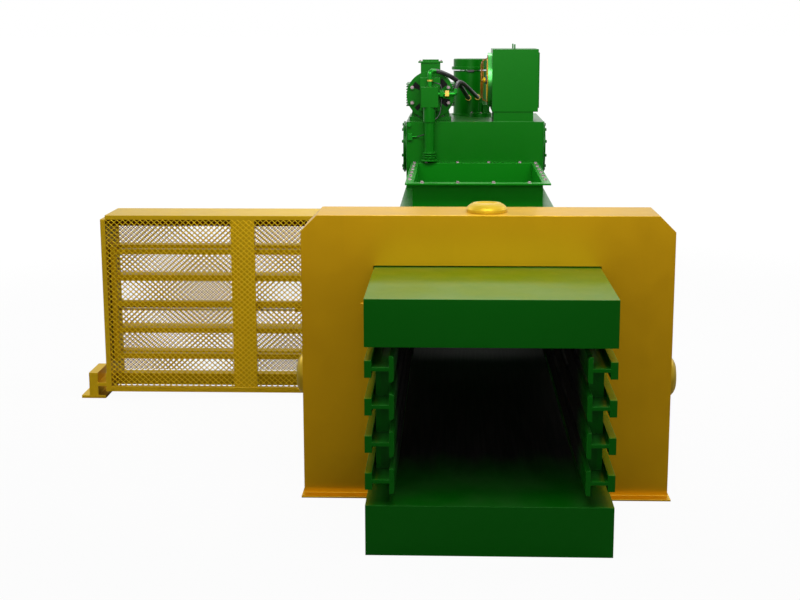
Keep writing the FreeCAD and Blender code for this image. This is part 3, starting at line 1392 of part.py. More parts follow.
# ------------------------------------------------- filter column and return
filter_drum = turned("FilterDrum", "z", (D.filter_across, D.filter_along, 0), [
    (0, D.tank_top), (D.filter_radius + 14, D.tank_top), (D.filter_radius + 14, D.tank_top + 14),
    (D.filter_radius, D.tank_top + 14), (D.filter_radius, D.filter_top), (D.filter_neck, D.filter_top),
    (D.filter_neck, D.filter_rim_low), (0, D.filter_rim_low)])
node("filter_lid", turned("FilterLid", "z", (D.filter_across, D.filter_along, 0), [
    (0, D.filter_rim_low), (D.filter_rim_radius, D.filter_rim_low),
    (D.filter_rim_radius, D.filter_rim_low + D.filter_rim_tall),
    (D.filter_radius, D.filter_rim_low + D.filter_rim_tall), (D.filter_radius, D.filter_lid_top - 8),
    (D.filter_radius - 8, D.filter_lid_top), (0, D.filter_lid_top)]))
port_stubs = []
for i, spot in enumerate((port_one, port_two)):
    stub = Part.makeCylinder(
        D.hose_radius.number + 8, 60, spot - FreeCAD.Vector(0, 4, 0), FreeCAD.Vector(0, 1, 0))
    drum = Part.makeCylinder(
        D.filter_radius.number, D.filter_tall.number, vector(D.filter_across, D.filter_along, D.tank_top))
    inside = Part.makeCylinder(
        D.hose_radius.number, 4, spot - FreeCAD.Vector(0, 4, 0), FreeCAD.Vector(0, 1, 0))
    port_stubs.append(solid_feature("FilterPort%d" % i, stub.cut(drum).cut(inside)))
node("filter_body", group("FilterBody", [filter_drum] + port_stubs))

return_spot = (D.return_across, D.return_along)
return_top = D.tank_top + D.return_thick
return_flange = rod("ReturnFlange", "z", return_spot, D.return_radius, (D.tank_top, return_top))
return_pipe = rod("ReturnPipe", "z", return_spot, D.return_pipe, (return_top, D.return_pipe_top))
return_valve = block(
    "ReturnValve", (D.return_across + D.return_pipe, D.return_across + D.return_pipe + D.return_block_wide),
    (D.return_along - D.return_block_deep / 2, D.return_along + D.return_block_deep / 2),
    (return_top, return_top + D.return_block_tall))
node("return_fitting", group("ReturnFitting", [return_flange, return_pipe, return_valve]))

# -------------------------------------------------------------------- cooler
fan_centre = (D.fan_along, D.fan_height)
cooler_block = block(
    "CoolerBlock", (D.cooler_left, D.cooler_right), (D.cooler_front, D.cooler_rear),
    (D.cooler_low, D.cooler_top))
fan_pocket = rod(
    "FanPocket", "x", fan_centre, D.fan_ring_inner, (D.cooler_left - 5, D.cooler_left + D.fan_pocket_deep))
cooler_pedestal = block(
    "CoolerPedestal", (D.pedestal_left, D.pedestal_right), (D.pedestal_front, D.pedestal_rear),
    (D.tank_top, D.cooler_low))
ring_x = (D.cooler_left - D.fan_ring_long, D.cooler_left)
ring_disc = rod("FanRingDisc", "x", fan_centre, D.fan_ring_outer, ring_x)
ring_bore = rod(
    "FanRingBore", "x", fan_centre, D.fan_ring_inner, (ring_x[0] - 5, D.cooler_left + 5))
node("fan_ring", cut("FanRing", ring_disc, [ring_bore]))

pocket_floor = D.cooler_left + D.fan_pocket_deep
hub_back = D.cooler_left + 20
fan_motor_block = rod("FanMotorBlock", "x", fan_centre, D.fan_motor, (hub_back + D.fan_hub_gap, pocket_floor))
fan_motor_bore = rod(
    "FanMotorBore", "x", fan_centre, D.fan_spindle + D.shaft_play, (hub_back - 5, pocket_floor - 20))
fan_motor = cut("FanMotor", fan_motor_block, [fan_motor_bore])
node("cooler_box", group("CoolerBox", [
    cut("CoolerCase", cooler_block, [fan_pocket]), cooler_pedestal, fan_motor]))
fan_parts = [
    rod("FanHub", "x", fan_centre, D.fan_hub, (D.fan_hub_nose, hub_back)),
    rod("FanSpindle", "x", fan_centre, D.fan_spindle, (hub_back - 5, pocket_floor - 24)),
]
blade_mid = (D.fan_hub_nose + hub_back) / 2
for i in range(SIZES["fan_blade_count"]):
    blade = block(
        "FanBlade%d" % i, (-D.fan_blade_chord / 2, D.fan_blade_chord / 2),
        (-D.fan_blade_thick / 2, D.fan_blade_thick / 2), (D.fan_hub - 8, D.fan_tip))
    pitch = doc.addObject("Part::Compound", "FanPitch%d" % i)
    pitch.Links = [blade]
    pitch.Placement = FreeCAD.Placement(
        FreeCAD.Vector(), FreeCAD.Rotation(FreeCAD.Vector(0, 0, 1), 90 - SIZES["fan_blade_pitch"]))
    spread = doc.addObject("Part::Compound", "FanSpread%d" % i)
    spread.Links = [pitch]
    spread.Placement = FreeCAD.Placement(
        FreeCAD.Vector(),
        FreeCAD.Rotation(FreeCAD.Vector(1, 0, 0), 360.0 * i / SIZES["fan_blade_count"]))
    place(spread, blade_mid, D.fan_along, D.fan_height)
    fan_parts.append(spread)
node("cooler_fan", join("CoolerFan", fan_parts))

# Wire guard: rings that step out to a hub disc, tied by eight bent arms.
guard_rings = []
ring_shares = ((1.0, 0.0), (0.766, 0.55), (0.523, 0.8), (0.289, 0.95))
guard_bow = D.guard_reach - D.fan_ring_long
steps = [(D.fan_ring_inner * wide, guard_bow * bow) for wide, bow in ring_shares]
wire = D.guard_wire
for i, (radius, bow) in enumerate(steps):
    guard_rings.append(turned("GuardRing%d" % i, "x", (ring_x[0] - bow, D.fan_along, D.fan_height), [
        (radius, -wire), (radius + wire, -wire), (radius + wire, as_size(0)), (radius, as_size(0))]))
guard_face = D.cooler_left - D.guard_reach
guard_rings.append(rod(
    "GuardHub", "x", fan_centre, D.guard_hub, (guard_face - wire, guard_face + D.guard_hub_thick)))
for i in range(SIZES["guard_arm_count"]):
    arms = []
    arm_steps = [(radius.number, (ring_x[0] - bow).number) for radius, bow in steps]
    arm_steps.append((D.guard_hub.number - 7, (ring_x[0] - guard_bow * 0.99).number))
    for (a_radius, near), (b_radius, far) in zip(arm_steps, arm_steps[1:]):
        width = wire.number
        points = [
            FreeCAD.Vector(near, -width / 2, a_radius + width), FreeCAD.Vector(far, -width / 2, b_radius),
            FreeCAD.Vector(far - width, -width / 2, b_radius),
            FreeCAD.Vector(near - width, -width / 2, a_radius + width)]
        face = Part.Face(Part.makePolygon(points + points[:1]))
        arms.append(face.extrude(FreeCAD.Vector(0, width, 0)))
    arm = solid_feature("GuardArm%d" % i, arms[0].fuse(arms[1:]))
    turn = FreeCAD.Rotation(FreeCAD.Vector(1, 0, 0), 360.0 * (i + 0.5) / SIZES["guard_arm_count"])
    arm.Placement = FreeCAD.Placement(vector(0, D.fan_along, D.fan_height), turn)
    guard_rings.append(arm)
node("fan_guard", join("FanGuard", guard_rings))

eyes = []
for word, along in (("front", D.eye_front), ("rear", D.eye_rear)):
    thick = (D.eye_across - D.eye_thick / 2, D.eye_across + D.eye_thick / 2)
    middle = (along, D.cooler_top + D.eye_rise)
    stem = block(
        "EyeStem" + word, thick, (along - D.eye_radius, along + D.eye_radius), (D.cooler_top, middle[1]))
    head = rod("EyeHead" + word, "x", middle, D.eye_radius, thick)
    hole = rod("EyeHole" + word, "x", middle, D.eye_hole, (thick[0] - 2, thick[1] + 2))
    eyes.append(cut("Eye" + word, join("EyeJoined" + word, [stem, head]), [hole]))
node("lifting_eyes", group("LiftingEyes", eyes))

# -------------------------------------------------------------- level switch
switch_x = (D.switch_left, D.switch_left + D.switch_wide)
switch_y = (D.tank_front - D.switch_deep, D.tank_front)
switch_mid = D.tank_front - D.switch_deep / 2
switch_height = D.switch_low + D.switch_tall / 2
switch_box = block("SwitchBox", switch_x, switch_y, (D.switch_low, D.switch_low + D.switch_tall))
switch_gland = rod(
    "SwitchGland", "x", (switch_mid, switch_height), 9, (switch_x[1] - 2, switch_x[1] + 45))
knob_across = switch_x[0] + D.switch_knob
knob_stem = rod(
    "KnobStem", "y", (knob_across, D.switch_knob_height), 8, (D.tank_front - 24, D.tank_front))
knob_disc = rod(
    "KnobDisc", "y", (knob_across, D.switch_knob_height), D.switch_knob,
    (D.tank_front - 40, D.tank_front - 22))
node("level_switch", group("LevelSwitch", [
    join("SwitchCase", [switch_box, switch_gland]), join("TankKnob", [knob_disc, knob_stem])]))

# Thin control cables between the pump's fittings and beside the tank.
cable_radius = D.cable_radius.number
hex_mid = (D.side_hex_left + D.side_hex_long / 2).number
hex_flat = D.side_hex_radius.number * math.cos(math.pi / 6)
port_y, port_z = (size.number for size in port)
cable_one_start = vector(D.motor_across + 30, D.adapter_front, D.adapter_top - 47)
cable_one_end = FreeCAD.Vector(hex_mid, port_y, port_z + hex_flat)
cable_one = tube_along("cable one", [
    cable_one_start, cable_one_start + FreeCAD.Vector(17, -68, 2),
    cable_one_end + FreeCAD.Vector(0, 0, 60), cable_one_end], cable_radius)
collar_edge = (D.suction_across + D.suction_collar).number
cable_two_start = FreeCAD.Vector(hex_mid, port_y, port_z - hex_flat)
cable_two_end = vector(collar_edge, D.suction_along, D.tank_top + 35)
cable_two = tube_along("cable two", [
    cable_two_start, cable_two_start + FreeCAD.Vector(-4, -8, -103),
    cable_two_end + FreeCAD.Vector(33, 10, 18), cable_two_end], cable_radius)
gland_end = vector(switch_x[1] + 45, switch_mid, switch_height)
pipe_edge = (D.suction_across - D.suction_radius).number
cable_three = tube_along("cable three", [
    gland_end, gland_end + FreeCAD.Vector(32, -12, 5),
    vector(pipe_edge, D.suction_along, D.switch_low + 63)], cable_radius)
node("control_cables", group("ControlCables", [
    solid_feature("CableOne", cable_one), solid_feature("CableTwo", cable_two),
    solid_feature("CableThree", cable_three)]))

# ------------------------------------------------------------ check and write
doc.recompute()
faults = []
for item in doc.Objects:
    if "Invalid" in item.State or "Error" in item.State:
        faults.append("%s state %s" % (item.Name, item.State))
for name, obj in NODES.items():
    if obj.Shape.isNull() or not obj.Shape.isValid() or not obj.Shape.Solids:
        faults.append("%s shape is null, not valid or empty" % name)
if faults:
    raise SystemExit("\n".join(faults))
facets = 0
for name, obj in NODES.items():
    facets += len(obj.Shape.tessellate(1.0)[1])
    obj.Shape.exportStep("parts/%s.step" % name)
print(len(NODES), "nodes,", facets, "facets")
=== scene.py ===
import math

import bmesh
import bpy
from mathutils import Matrix, Vector


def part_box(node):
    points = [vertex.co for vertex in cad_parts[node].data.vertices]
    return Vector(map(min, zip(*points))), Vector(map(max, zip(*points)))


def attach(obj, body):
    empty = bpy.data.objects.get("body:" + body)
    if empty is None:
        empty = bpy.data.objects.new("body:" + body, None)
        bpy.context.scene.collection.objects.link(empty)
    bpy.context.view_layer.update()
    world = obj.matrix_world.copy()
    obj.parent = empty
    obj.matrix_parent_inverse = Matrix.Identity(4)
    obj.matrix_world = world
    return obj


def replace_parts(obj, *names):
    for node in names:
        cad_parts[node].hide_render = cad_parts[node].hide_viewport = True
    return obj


# Looks of a recycling baler: enamel, ground steel, chrome, brass and rubber on
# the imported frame, and the fine pieces that the frame carries.
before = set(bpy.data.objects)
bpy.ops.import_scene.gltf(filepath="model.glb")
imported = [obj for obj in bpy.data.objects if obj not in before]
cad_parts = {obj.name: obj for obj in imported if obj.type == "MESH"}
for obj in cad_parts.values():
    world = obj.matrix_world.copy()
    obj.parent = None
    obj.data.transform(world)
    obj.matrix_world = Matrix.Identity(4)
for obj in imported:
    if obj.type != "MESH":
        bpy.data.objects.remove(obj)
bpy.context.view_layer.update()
UP = Vector((0, 0, 1))
WHITE = (1.0, 1.0, 1.0, 1.0)


# ------------------------------------------------------------------ node work
def colour(red, green, blue):
    """A colour as a paint chart gives it, 0 to 255 a channel."""
    return tuple((part / 255) ** 2.2 for part in (red, green, blue)) + (1.0,)


class Bench:
    """Adds nodes to one tree and wires them."""

    def __init__(self, tree):
        self.tree = tree

    def add(self, kind, settings=None, **sockets):
        """A new node, its socket names written with an underline for each space."""
        item = self.tree.nodes.new(kind)
        for name, value in (settings or {}).items():
            setattr(item, name, value)
        for name, value in sockets.items():
            self.feed(item.inputs[name.replace("_", " ")], value)
        return item

    def feed(self, socket, value):
        """Links a socket to another, or sets its value."""
        if isinstance(value, bpy.types.NodeSocket):
            self.tree.links.new(value, socket)
        else:
            socket.default_value = value

    def maths(self, operation, *values):
        """The result of one operation on values or sockets."""
        item = self.tree.nodes.new("ShaderNodeMath")
        item.operation = operation
        for socket, value in zip(item.inputs, values):
            self.feed(socket, value)
        return item.outputs[0]

    def blend(self, share, first, second, way="MIX"):
        """Two colours mixed by a share."""
        item = self.tree.nodes.new("ShaderNodeMix")
        item.data_type = "RGBA"
        item.blend_type = way
        self.feed(item.inputs["Factor"], share)
        self.feed(item.inputs["A"], first)
        self.feed(item.inputs["B"], second)
        return item.outputs["Result"]

    def band(self, value, low, high, start=0.0, end=1.0):
        """A value carried smoothly from start to end between two limits."""
        item = self.add("ShaderNodeMapRange", {"interpolation_type": "SMOOTHSTEP"}, Value=value)
        limits = {"From Min": low, "From Max": high, "To Min": start, "To Max": end}
        for name, number in limits.items():
            self.feed(item.inputs[name], number)
        return item.outputs["Result"]

    def speckle(self, where, scale, detail=2.0, stretch=None):
        """Cloud noise, drawn out along an axis where it is stretched."""
        if stretch:
            where = self.add("ShaderNodeMapping", Vector=where, Scale=stretch).outputs["Vector"]
        return self.add("ShaderNodeTexNoise", Vector=where, Scale=scale, Detail=detail).outputs["Fac"]


def effect(name, inputs, outputs):
    """A shared shader group with named sockets."""
    tree = bpy.data.node_groups.new(name, "ShaderNodeTree")
    for kind, label, start in inputs:
        socket = tree.interface.new_socket(
            name=label, in_out="INPUT", socket_type="NodeSocket" + kind)
        socket.default_value = start
    for kind, label in outputs:
        tree.interface.new_socket(name=label, in_out="OUTPUT", socket_type="NodeSocket" + kind)
    bench = Bench(tree)
    return bench, bench.add("NodeGroupInput").outputs, bench.add("NodeGroupOutput").inputs


def make_eased_edge():
    """Rounds plate edges to the eye and marks where they are."""
    bench, given, taken = effect(
        "eased edge", [("Float", "Radius", 0.004)], [("Vector", "Normal"), ("Float", "Edge")])
    eased = bench.add("ShaderNodeBevel", {"samples": 6}, Radius=given["Radius"])
    flat = bench.add("ShaderNodeNewGeometry")
    likeness = bench.add("ShaderNodeVectorMath", {"operation": "DOT_PRODUCT"})
    bench.feed(likeness.inputs[0], eased.outputs["Normal"])
    bench.feed(likeness.inputs[1], flat.outputs["Normal"])
    bench.feed(taken["Normal"], eased.outputs["Normal"])
    flat_likeness, edge_likeness = 0.995, 0.80
    bench.feed(taken["Edge"], bench.band(likeness.outputs["Value"], flat_likeness, edge_likeness))
    return bench.tree


def make_enamel_skin():
    """Brushed and sprayed enamel: cloudy depth, faint runs, dust and a painted sheen on top faces, rubbed
    edges with a painted highlight.
    """
    bench, given, taken = effect(
        "enamel skin",
        [("Color", "Colour", WHITE), ("Color", "Rubbed Colour", WHITE), ("Float", "Edge", 0.0),
         ("Float", "Dust", 0.06), ("Float", "Gloss", 0.3)],
        [("Color", "Colour"), ("Float", "Roughness"), ("Float", "Height")])
    where = bench.add("ShaderNodeTexCoord").outputs["Object"]
    clouds = bench.band(bench.speckle(where, 0.8, 3.0), 0.35, 0.65)
    patches = bench.band(bench.speckle(where, 7.0, 4.0), 0.3, 0.7)
    runs = bench.band(bench.speckle(where, 5.0, 4.0, (2.0, 2.0, 0.12)), 0.52, 0.75)
    deep = bench.blend(1.0, given["Colour"], (0.80, 0.84, 0.80, 1), "MULTIPLY")
    tone = given["Colour"]
    for mask, share in ((clouds, 0.28), (patches, 0.15), (runs, 0.14)):
        tone = bench.blend(bench.maths("MULTIPLY", mask, share), tone, deep)
    normal = bench.add("ShaderNodeNewGeometry").outputs["Normal"]
    facing = bench.add("ShaderNodeSeparateXYZ", Vector=normal).outputs["Z"]
    # Upward faces paled: dust, and a painted sheen on top faces.
    upward = bench.band(facing, 0.75, 0.98)
    drifts = bench.band(bench.speckle(where, 3.2, 6.0), 0.3, 0.75)
    dust = bench.maths("MULTIPLY", upward, bench.maths("MULTIPLY", drifts, given["Dust"]))
    tone = bench.blend(dust, tone, colour(196, 192, 176))
    # Rubbed edges: chips of wear, and a lighter colour all along the edges as a painted highlight.
    chips = bench.band(bench.speckle(where, 60.0, 3.0), 0.50, 0.60)
    rubbed = bench.maths("MULTIPLY", given["Edge"], bench.maths("MULTIPLY_ADD", chips, 0.45, 0.25))
    tone = bench.blend(rubbed, tone, given["Rubbed Colour"])
    haze = bench.maths("MULTIPLY_ADD", patches, 0.04, given["Gloss"])
    bench.feed(taken["Colour"], tone)
    bench.feed(taken["Roughness"], bench.maths("MULTIPLY_ADD", dust, 0.9, haze))
    peel = bench.speckle(where, 140.0, 2.0)
    waves = bench.speckle(where, 4.0, 2.0)
    bench.feed(taken["Height"], bench.maths("MULTIPLY_ADD", waves, 0.8, peel))
    return bench.tree


def make_drawn_metal():
    """Fine lines left along the metal, with darker stain in patches."""
    bench, given, taken = effect(
        "drawn metal",
        [("Color", "Colour", WHITE), ("Color", "Stain", (0.1, 0.1, 0.1, 1)),
         ("Float", "Stain Share", 0.3), ("Vector", "Grain", (4.0, 240.0, 240.0)),
         ("Float", "Polish", 0.25)],
        [("Color", "Colour"), ("Float", "Roughness"), ("Float", "Height")])
    where = bench.add("ShaderNodeTexCoord").outputs["Object"]
    lines = bench.speckle(where, 1.0, 3.0, given["Grain"])
    stain = bench.band(bench.speckle(where, 11.0, 5.0), 0.48, 0.72)
    share = bench.maths("MULTIPLY", stain, given["Stain Share"])
    tone = bench.blend(share, given["Colour"], given["Stain"])
    bright = bench.blend(bench.maths("MULTIPLY", lines, 0.25), tone, WHITE, "OVERLAY")
    bench.feed(taken["Colour"], bright)
    rough = bench.maths("MULTIPLY_ADD", lines, 0.12, given["Polish"])
    bench.feed(taken["Roughness"], bench.maths("MULTIPLY_ADD", share, 0.5, rough))
    bench.feed(taken["Height"], lines)
    return bench.tree


EASED_EDGE = make_eased_edge()
ENAMEL_SKIN = make_enamel_skin()
DRAWN_METAL = make_drawn_metal()


def use(bench, tree, **values):
    """A shared effect placed in a material, its inputs named like a node's in Bench.add."""
    item = bench.tree.nodes.new("ShaderNodeGroup")
    item.node_tree = tree
    for name, value in values.items():
        bench.feed(item.inputs[name.replace("_", " ")], value)
    return item.outputs


def blank_finish(name):
    """A new material with its bench and its shader."""
    finish = bpy.data.materials.new(name)
    finish.use_nodes = True
    bench = Bench(finish.node_tree)
    shader = finish.node_tree.nodes["Principled BSDF"]
    return finish, bench, shader


def dress(bench, shader, skin, depth, normal=None):
    """Feeds an effect's outputs to the shader, its height through a bump."""
    bench.feed(shader.inputs["Base Color"], skin["Colour"])
    bench.feed(shader.inputs["Roughness"], skin["Roughness"])
    relief = bench.add("ShaderNodeBump", Strength=1.0, Distance=depth, Height=skin["Height"])
    if normal is not None:
        bench.feed(relief.inputs["Normal"], normal)
    bench.feed(shader.inputs["Normal"], relief.outputs["Normal"])


def make_chamber_wear_and_shade():
    """Bare steel that bales leave on inner faces, darkened near black as painted shade that deepens from the
    mouth inwards.
    """
    bench, given, taken = effect(
        "worn chamber",
        [("Color", "Colour", WHITE), ("Float", "Roughness", 0.3), ("Float", "Metallic", 0.5),
         ("Float", "Half Width", 1.0), ("Float", "Floor", 0.3), ("Float", "Roof", 1.25),
         ("Float", "Start", -2.0), ("Float", "Full", -1.0)],
        [("Color", "Colour"), ("Float", "Roughness"), ("Float", "Metallic"), ("Float", "Paint")])
    where = bench.add("ShaderNodeTexCoord").outputs["Object"]
    spot = bench.add("ShaderNodeSeparateXYZ", Vector=where).outputs
    across = bench.maths("LESS_THAN", bench.maths("ABSOLUTE", spot["X"]), given["Half Width"])
    over = bench.maths("GREATER_THAN", spot["Z"], given["Floor"])
    under = bench.maths("LESS_THAN", spot["Z"], given["Roof"])
    # The painted shade deepens from the mouth along the machine, with a ragged front.
    fringe = bench.speckle(where, 3.0, 5.0, (2.0, 0.4, 2.0))
    ragged = bench.maths("MULTIPLY_ADD", fringe, 0.5, spot["Y"])
    deep = bench.band(ragged, given["Start"], given["Full"])
    between = bench.maths("MULTIPLY", over, under)
    inside = bench.maths("MULTIPLY", bench.maths("MULTIPLY", across, between), deep)
    lines = bench.speckle(where, 1.0, 4.0, (60.0, 1.5, 60.0))
    # Near-black bare steel: wear, darkened as painted shade of the passage's inside.
    steel = bench.blend(bench.band(lines, 0.35, 0.7), colour(20, 18, 17), colour(44, 42, 41))
    bench.feed(taken["Colour"], bench.blend(inside, given["Colour"], steel))
    rough = bench.maths("MULTIPLY_ADD", lines, 0.3, 0.6)
    bench.feed(taken["Roughness"], bench.add(
        "ShaderNodeMix", Factor=inside, A=given["Roughness"], B=rough).outputs["Result"])
    paint = bench.maths("SUBTRACT", 1.0, inside)
    bench.feed(taken["Metallic"], bench.maths("MULTIPLY", paint, given["Metallic"]))
    bench.feed(taken["Paint"], paint)
    return bench.tree


def make_bell_opening_shade():
    """Painted shade: black in the motor's bell where it has openings between its arms, which are not cut."""
    bench, given, taken = effect(
        "bell windows", [("Color", "Colour", WHITE)], [("Color", "Colour"), ("Float", "Paint")])
    low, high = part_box("motor_end_covers")
    bell_x, bell_z, bell_face = (low[0] + high[0]) / 2, (low[2] + high[2]) / 2, low[1] + 0.053
    inner, outer = 0.085, 0.214
    windows = ((147, 9), (43, 13), (-24, 12), (-136, 7))  # middle and half of each, in degrees
    where = bench.add("ShaderNodeTexCoord").outputs["Object"]
    spot = bench.add("ShaderNodeSeparateXYZ", Vector=where).outputs
    across = bench.maths("SUBTRACT", spot["X"], bell_x)
    rise = bench.maths("SUBTRACT", spot["Z"], bell_z)
    squares = [bench.maths("POWER", part, 2.0) for part in (across, rise)]
    reach = bench.maths("SQRT", bench.maths("ADD", *squares))
    angle = bench.maths("ARCTAN2", rise, across)
    front = bench.band(spot["Y"], bell_face + 0.003, bell_face)
    beyond = bench.band(reach, inner, inner + 0.007)
    within = bench.band(reach, outer, outer - 0.006)
    ring = bench.maths("MULTIPLY", bench.maths("MULTIPLY", beyond, within), front)
    window_shade = 0.0
    for middle, half in windows:
        away = bench.maths("ABSOLUTE", bench.maths("SUBTRACT", angle, math.radians(middle)))
        opening = bench.band(away, math.radians(half + 1), math.radians(half - 1))
        window_shade = bench.maths("MAXIMUM", window_shade, opening)
    window_shade = bench.maths("MULTIPLY", window_shade, ring)
    # Near black in the bell's openings: painted shade, the openings are not cut.
    bench.feed(taken["Colour"], bench.blend(window_shade, given["Colour"], colour(8, 12, 8)))
    bench.feed(taken["Paint"], bench.maths("SUBTRACT", 1.0, window_shade))
    return bench.tree


BELL_OPENING_SHADE = make_bell_opening_shade()
CHAMBER_WEAR_AND_SHADE = make_chamber_wear_and_shade()


def enamel(
        name, body, rubbed, metallic=0.12, gloss=0.3, dust=0.035, edge=0.004, sheen=WHITE, lacquer=0.14,
        worn=None, windows=False):
    """Metal-flake enamel under a clear coat that shows most at a slant, worn to bare steel and darkened as
    painted shade where asked.
    """
    finish, bench, shader = blank_finish(name)
    eased = use(bench, EASED_EDGE, Radius=edge)
    skin = use(
        bench, ENAMEL_SKIN, Colour=body, Rubbed_Colour=rubbed, Edge=eased["Edge"], Dust=dust, Gloss=gloss)
    peel_depth = 0.00012
    dress(bench, shader, skin, peel_depth, eased["Normal"])
    slant = bench.add("ShaderNodeLayerWeight", Blend=0.5).outputs["Facing"]
    slant_start, slant_full = 0.45, 0.95
    coat = bench.band(slant, slant_start, slant_full, 0.0, lacquer)
    shader.inputs["Coat Roughness"].default_value = 0.16
    shader.inputs["Metallic"].default_value = metallic
    shader.inputs["Specular IOR Level"].default_value = 0.12
    shader.inputs["Specular Tint"].default_value = sheen
    if windows:
        shade = use(bench, BELL_OPENING_SHADE, Colour=skin["Colour"])
        bench.feed(shader.inputs["Base Color"], shade["Colour"])
        bench.feed(shader.inputs["Metallic"], bench.maths("MULTIPLY", shade["Paint"], metallic))
        coat = bench.maths("MULTIPLY", coat, shade["Paint"])
    # Bare steel darkened as painted shade inside the passage.
    if worn:
        chamber_look = use(
            bench, CHAMBER_WEAR_AND_SHADE, Colour=skin["Colour"], Roughness=skin["Roughness"], Metallic=metallic,
            **worn)
        bench.feed(shader.inputs["Base Color"], chamber_look["Colour"])
        bench.feed(shader.inputs["Roughness"], chamber_look["Roughness"])
        bench.feed(shader.inputs["Metallic"], chamber_look["Metallic"])
        coat = bench.maths("MULTIPLY", coat, chamber_look["Paint"])
    bench.feed(shader.inputs["Coat Weight"], coat)
    return finish


def green_with_wear_and_shade(name, beside, under, over, start=-2.0, full=-1.0):
    """Green enamel worn to bare steel and darkened as painted shade where bales pass, and a little beside,
    under and over their passage.

    The paint starts to go at one place along the machine and is all gone, to painted shade on bare steel, at
    another.
    """
    half, floor, roof = PASSAGE
    return enamel(name, GREEN_TONE, GREEN_EDGE_HIGHLIGHT, worn={
        "Half_Width": half + beside, "Floor": floor - under, "Roof": roof + over, "Start": start,
        "Full": full})


def metal(name, body, stain, share, grain, polish):
    """Bare metal with drawn lines and a share of stain."""
    finish, bench, shader = blank_finish(name)
    skin = use(bench, DRAWN_METAL, Colour=body, Stain=stain, Stain_Share=share, Grain=grain, Polish=polish)
    line_depth = 0.00004
    dress(bench, shader, skin, line_depth)
    shader.inputs["Metallic"].default_value = 1.0
    return finish


def rubber(name):
    """Black rubber with scuffs and the print of its cloth wrap."""
    finish, bench, shader = blank_finish(name)
    where = bench.add("ShaderNodeTexCoord").outputs["Object"]
    scuffs = bench.band(bench.speckle(where, 22.0, 5.0), 0.45, 0.7)
    bloom = bench.blend(bench.maths("MULTIPLY", scuffs, 0.35), colour(38, 37, 39), colour(86, 84, 88))
    bench.feed(shader.inputs["Base Color"], bloom)
    bench.feed(shader.inputs["Roughness"], bench.maths("MULTIPLY_ADD", scuffs, 0.15, 0.38))
    cloth = bench.speckle(where, 420.0, 1.0)
    relief = bench.add("ShaderNodeBump", Strength=0.6, Distance=0.0006, Height=cloth)
    bench.feed(shader.inputs["Normal"], relief.outputs["Normal"])
    return finish


def plastic(name, body):
    """Cloudy plastic with a fine grain."""
    finish, bench, shader = blank_finish(name)
    where = bench.add("ShaderNodeTexCoord").outputs["Object"]
    cloud = bench.band(bench.speckle(where, 9.0, 4.0), 0.3, 0.7)
    deep = bench.blend(1.0, body, (0.7, 0.7, 0.7, 1), "MULTIPLY")
    bench.feed(shader.inputs["Base Color"], bench.blend(cloud, body, deep))
    bench.feed(shader.inputs["Roughness"], bench.maths("MULTIPLY_ADD", cloud, 0.1, 0.42))
    pits = bench.speckle(where, 300.0, 2.0)
    grain = bench.add("ShaderNodeBump", Strength=0.5, Distance=0.0002, Height=pits)
    bench.feed(shader.inputs["Normal"], grain.outputs["Normal"])
    return finish


# Each enamel's second colour lightens its edges as a painted highlight, with chips of wear.
GREEN_TONE, GREEN_EDGE_HIGHLIGHT = colour(13, 104, 16), colour(64, 156, 62)
YELLOW_TONE, YELLOW_EDGE_HIGHLIGHT = colour(222, 178, 34), colour(244, 212, 96)
GOLD_TONE = colour(218, 164, 28)
# Half width, floor and roof of the passage between the channel's walls.
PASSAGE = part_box("channel_wall_right")[0][0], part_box("channel_floor")[1][2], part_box("channel_lid")[0][2]
YELLOW_SHEEN = (0.6, 0.62, 0.48, 1.0)
GREEN = enamel("green enamel", GREEN_TONE, GREEN_EDGE_HIGHLIGHT)
YELLOW = enamel(
    "lemon yellow enamel", YELLOW_TONE, YELLOW_EDGE_HIGHLIGHT, metallic=0.85, sheen=YELLOW_SHEEN, lacquer=0.1)
GOLD = enamel(
    "golden yellow enamel", GOLD_TONE, YELLOW_EDGE_HIGHLIGHT, metallic=0.85, sheen=YELLOW_SHEEN, lacquer=0.15)
# Dark brown: painted shade on the cage's rear top bar.
SHADE_BROWN = enamel("brown painted shade", colour(104, 58, 8), colour(150, 100, 30), metallic=0.3)
# The bell's openings are painted shade, not cut.
BELL = enamel("green enamel with painted bell opening shade", GREEN_TONE, GREEN_EDGE_HIGHLIGHT, windows=True)
# Enamel worn to bare steel inside the passage, darkened there as painted shade.
CHAMBER = green_with_wear_and_shade("green enamel with chamber wear and painted shade", 0.004, 0.0005, 0.0005)
CHANNEL_FLOOR = green_with_wear_and_shade("green enamel with channel floor wear and painted shade", 0.007, 0.005, 0.05, 0.6, 1.35)
CHANNEL_WALL = green_with_wear_and_shade("green enamel with channel wall wear and painted shade", 0.087, 0.005, 0.05, 0.3, 1.0)
CHANNEL_LID = green_with_wear_and_shade("green enamel with lid underside wear and painted shade", 0.047, 0.005, 0.0015, 0.3, 0.9)
# A lighter copy of the green enamel: painted highlight on the fan ring.
LIGHTENED_RING_GREEN = enamel("fan ring enamel lightened as painted highlight", colour(84, 184, 90), GREEN_EDGE_HIGHLIGHT, metallic=0.8, gloss=0.26)
# A lighter copy of the green enamel: painted highlight on the pipe fittings and level switch.
LIGHTENED_PIPE_GREEN = enamel(
    "glossy pipe enamel lightened as painted highlight", colour(28, 128, 34), GREEN_EDGE_HIGHLIGHT, metallic=0.5, gloss=0.26, edge=0.002)
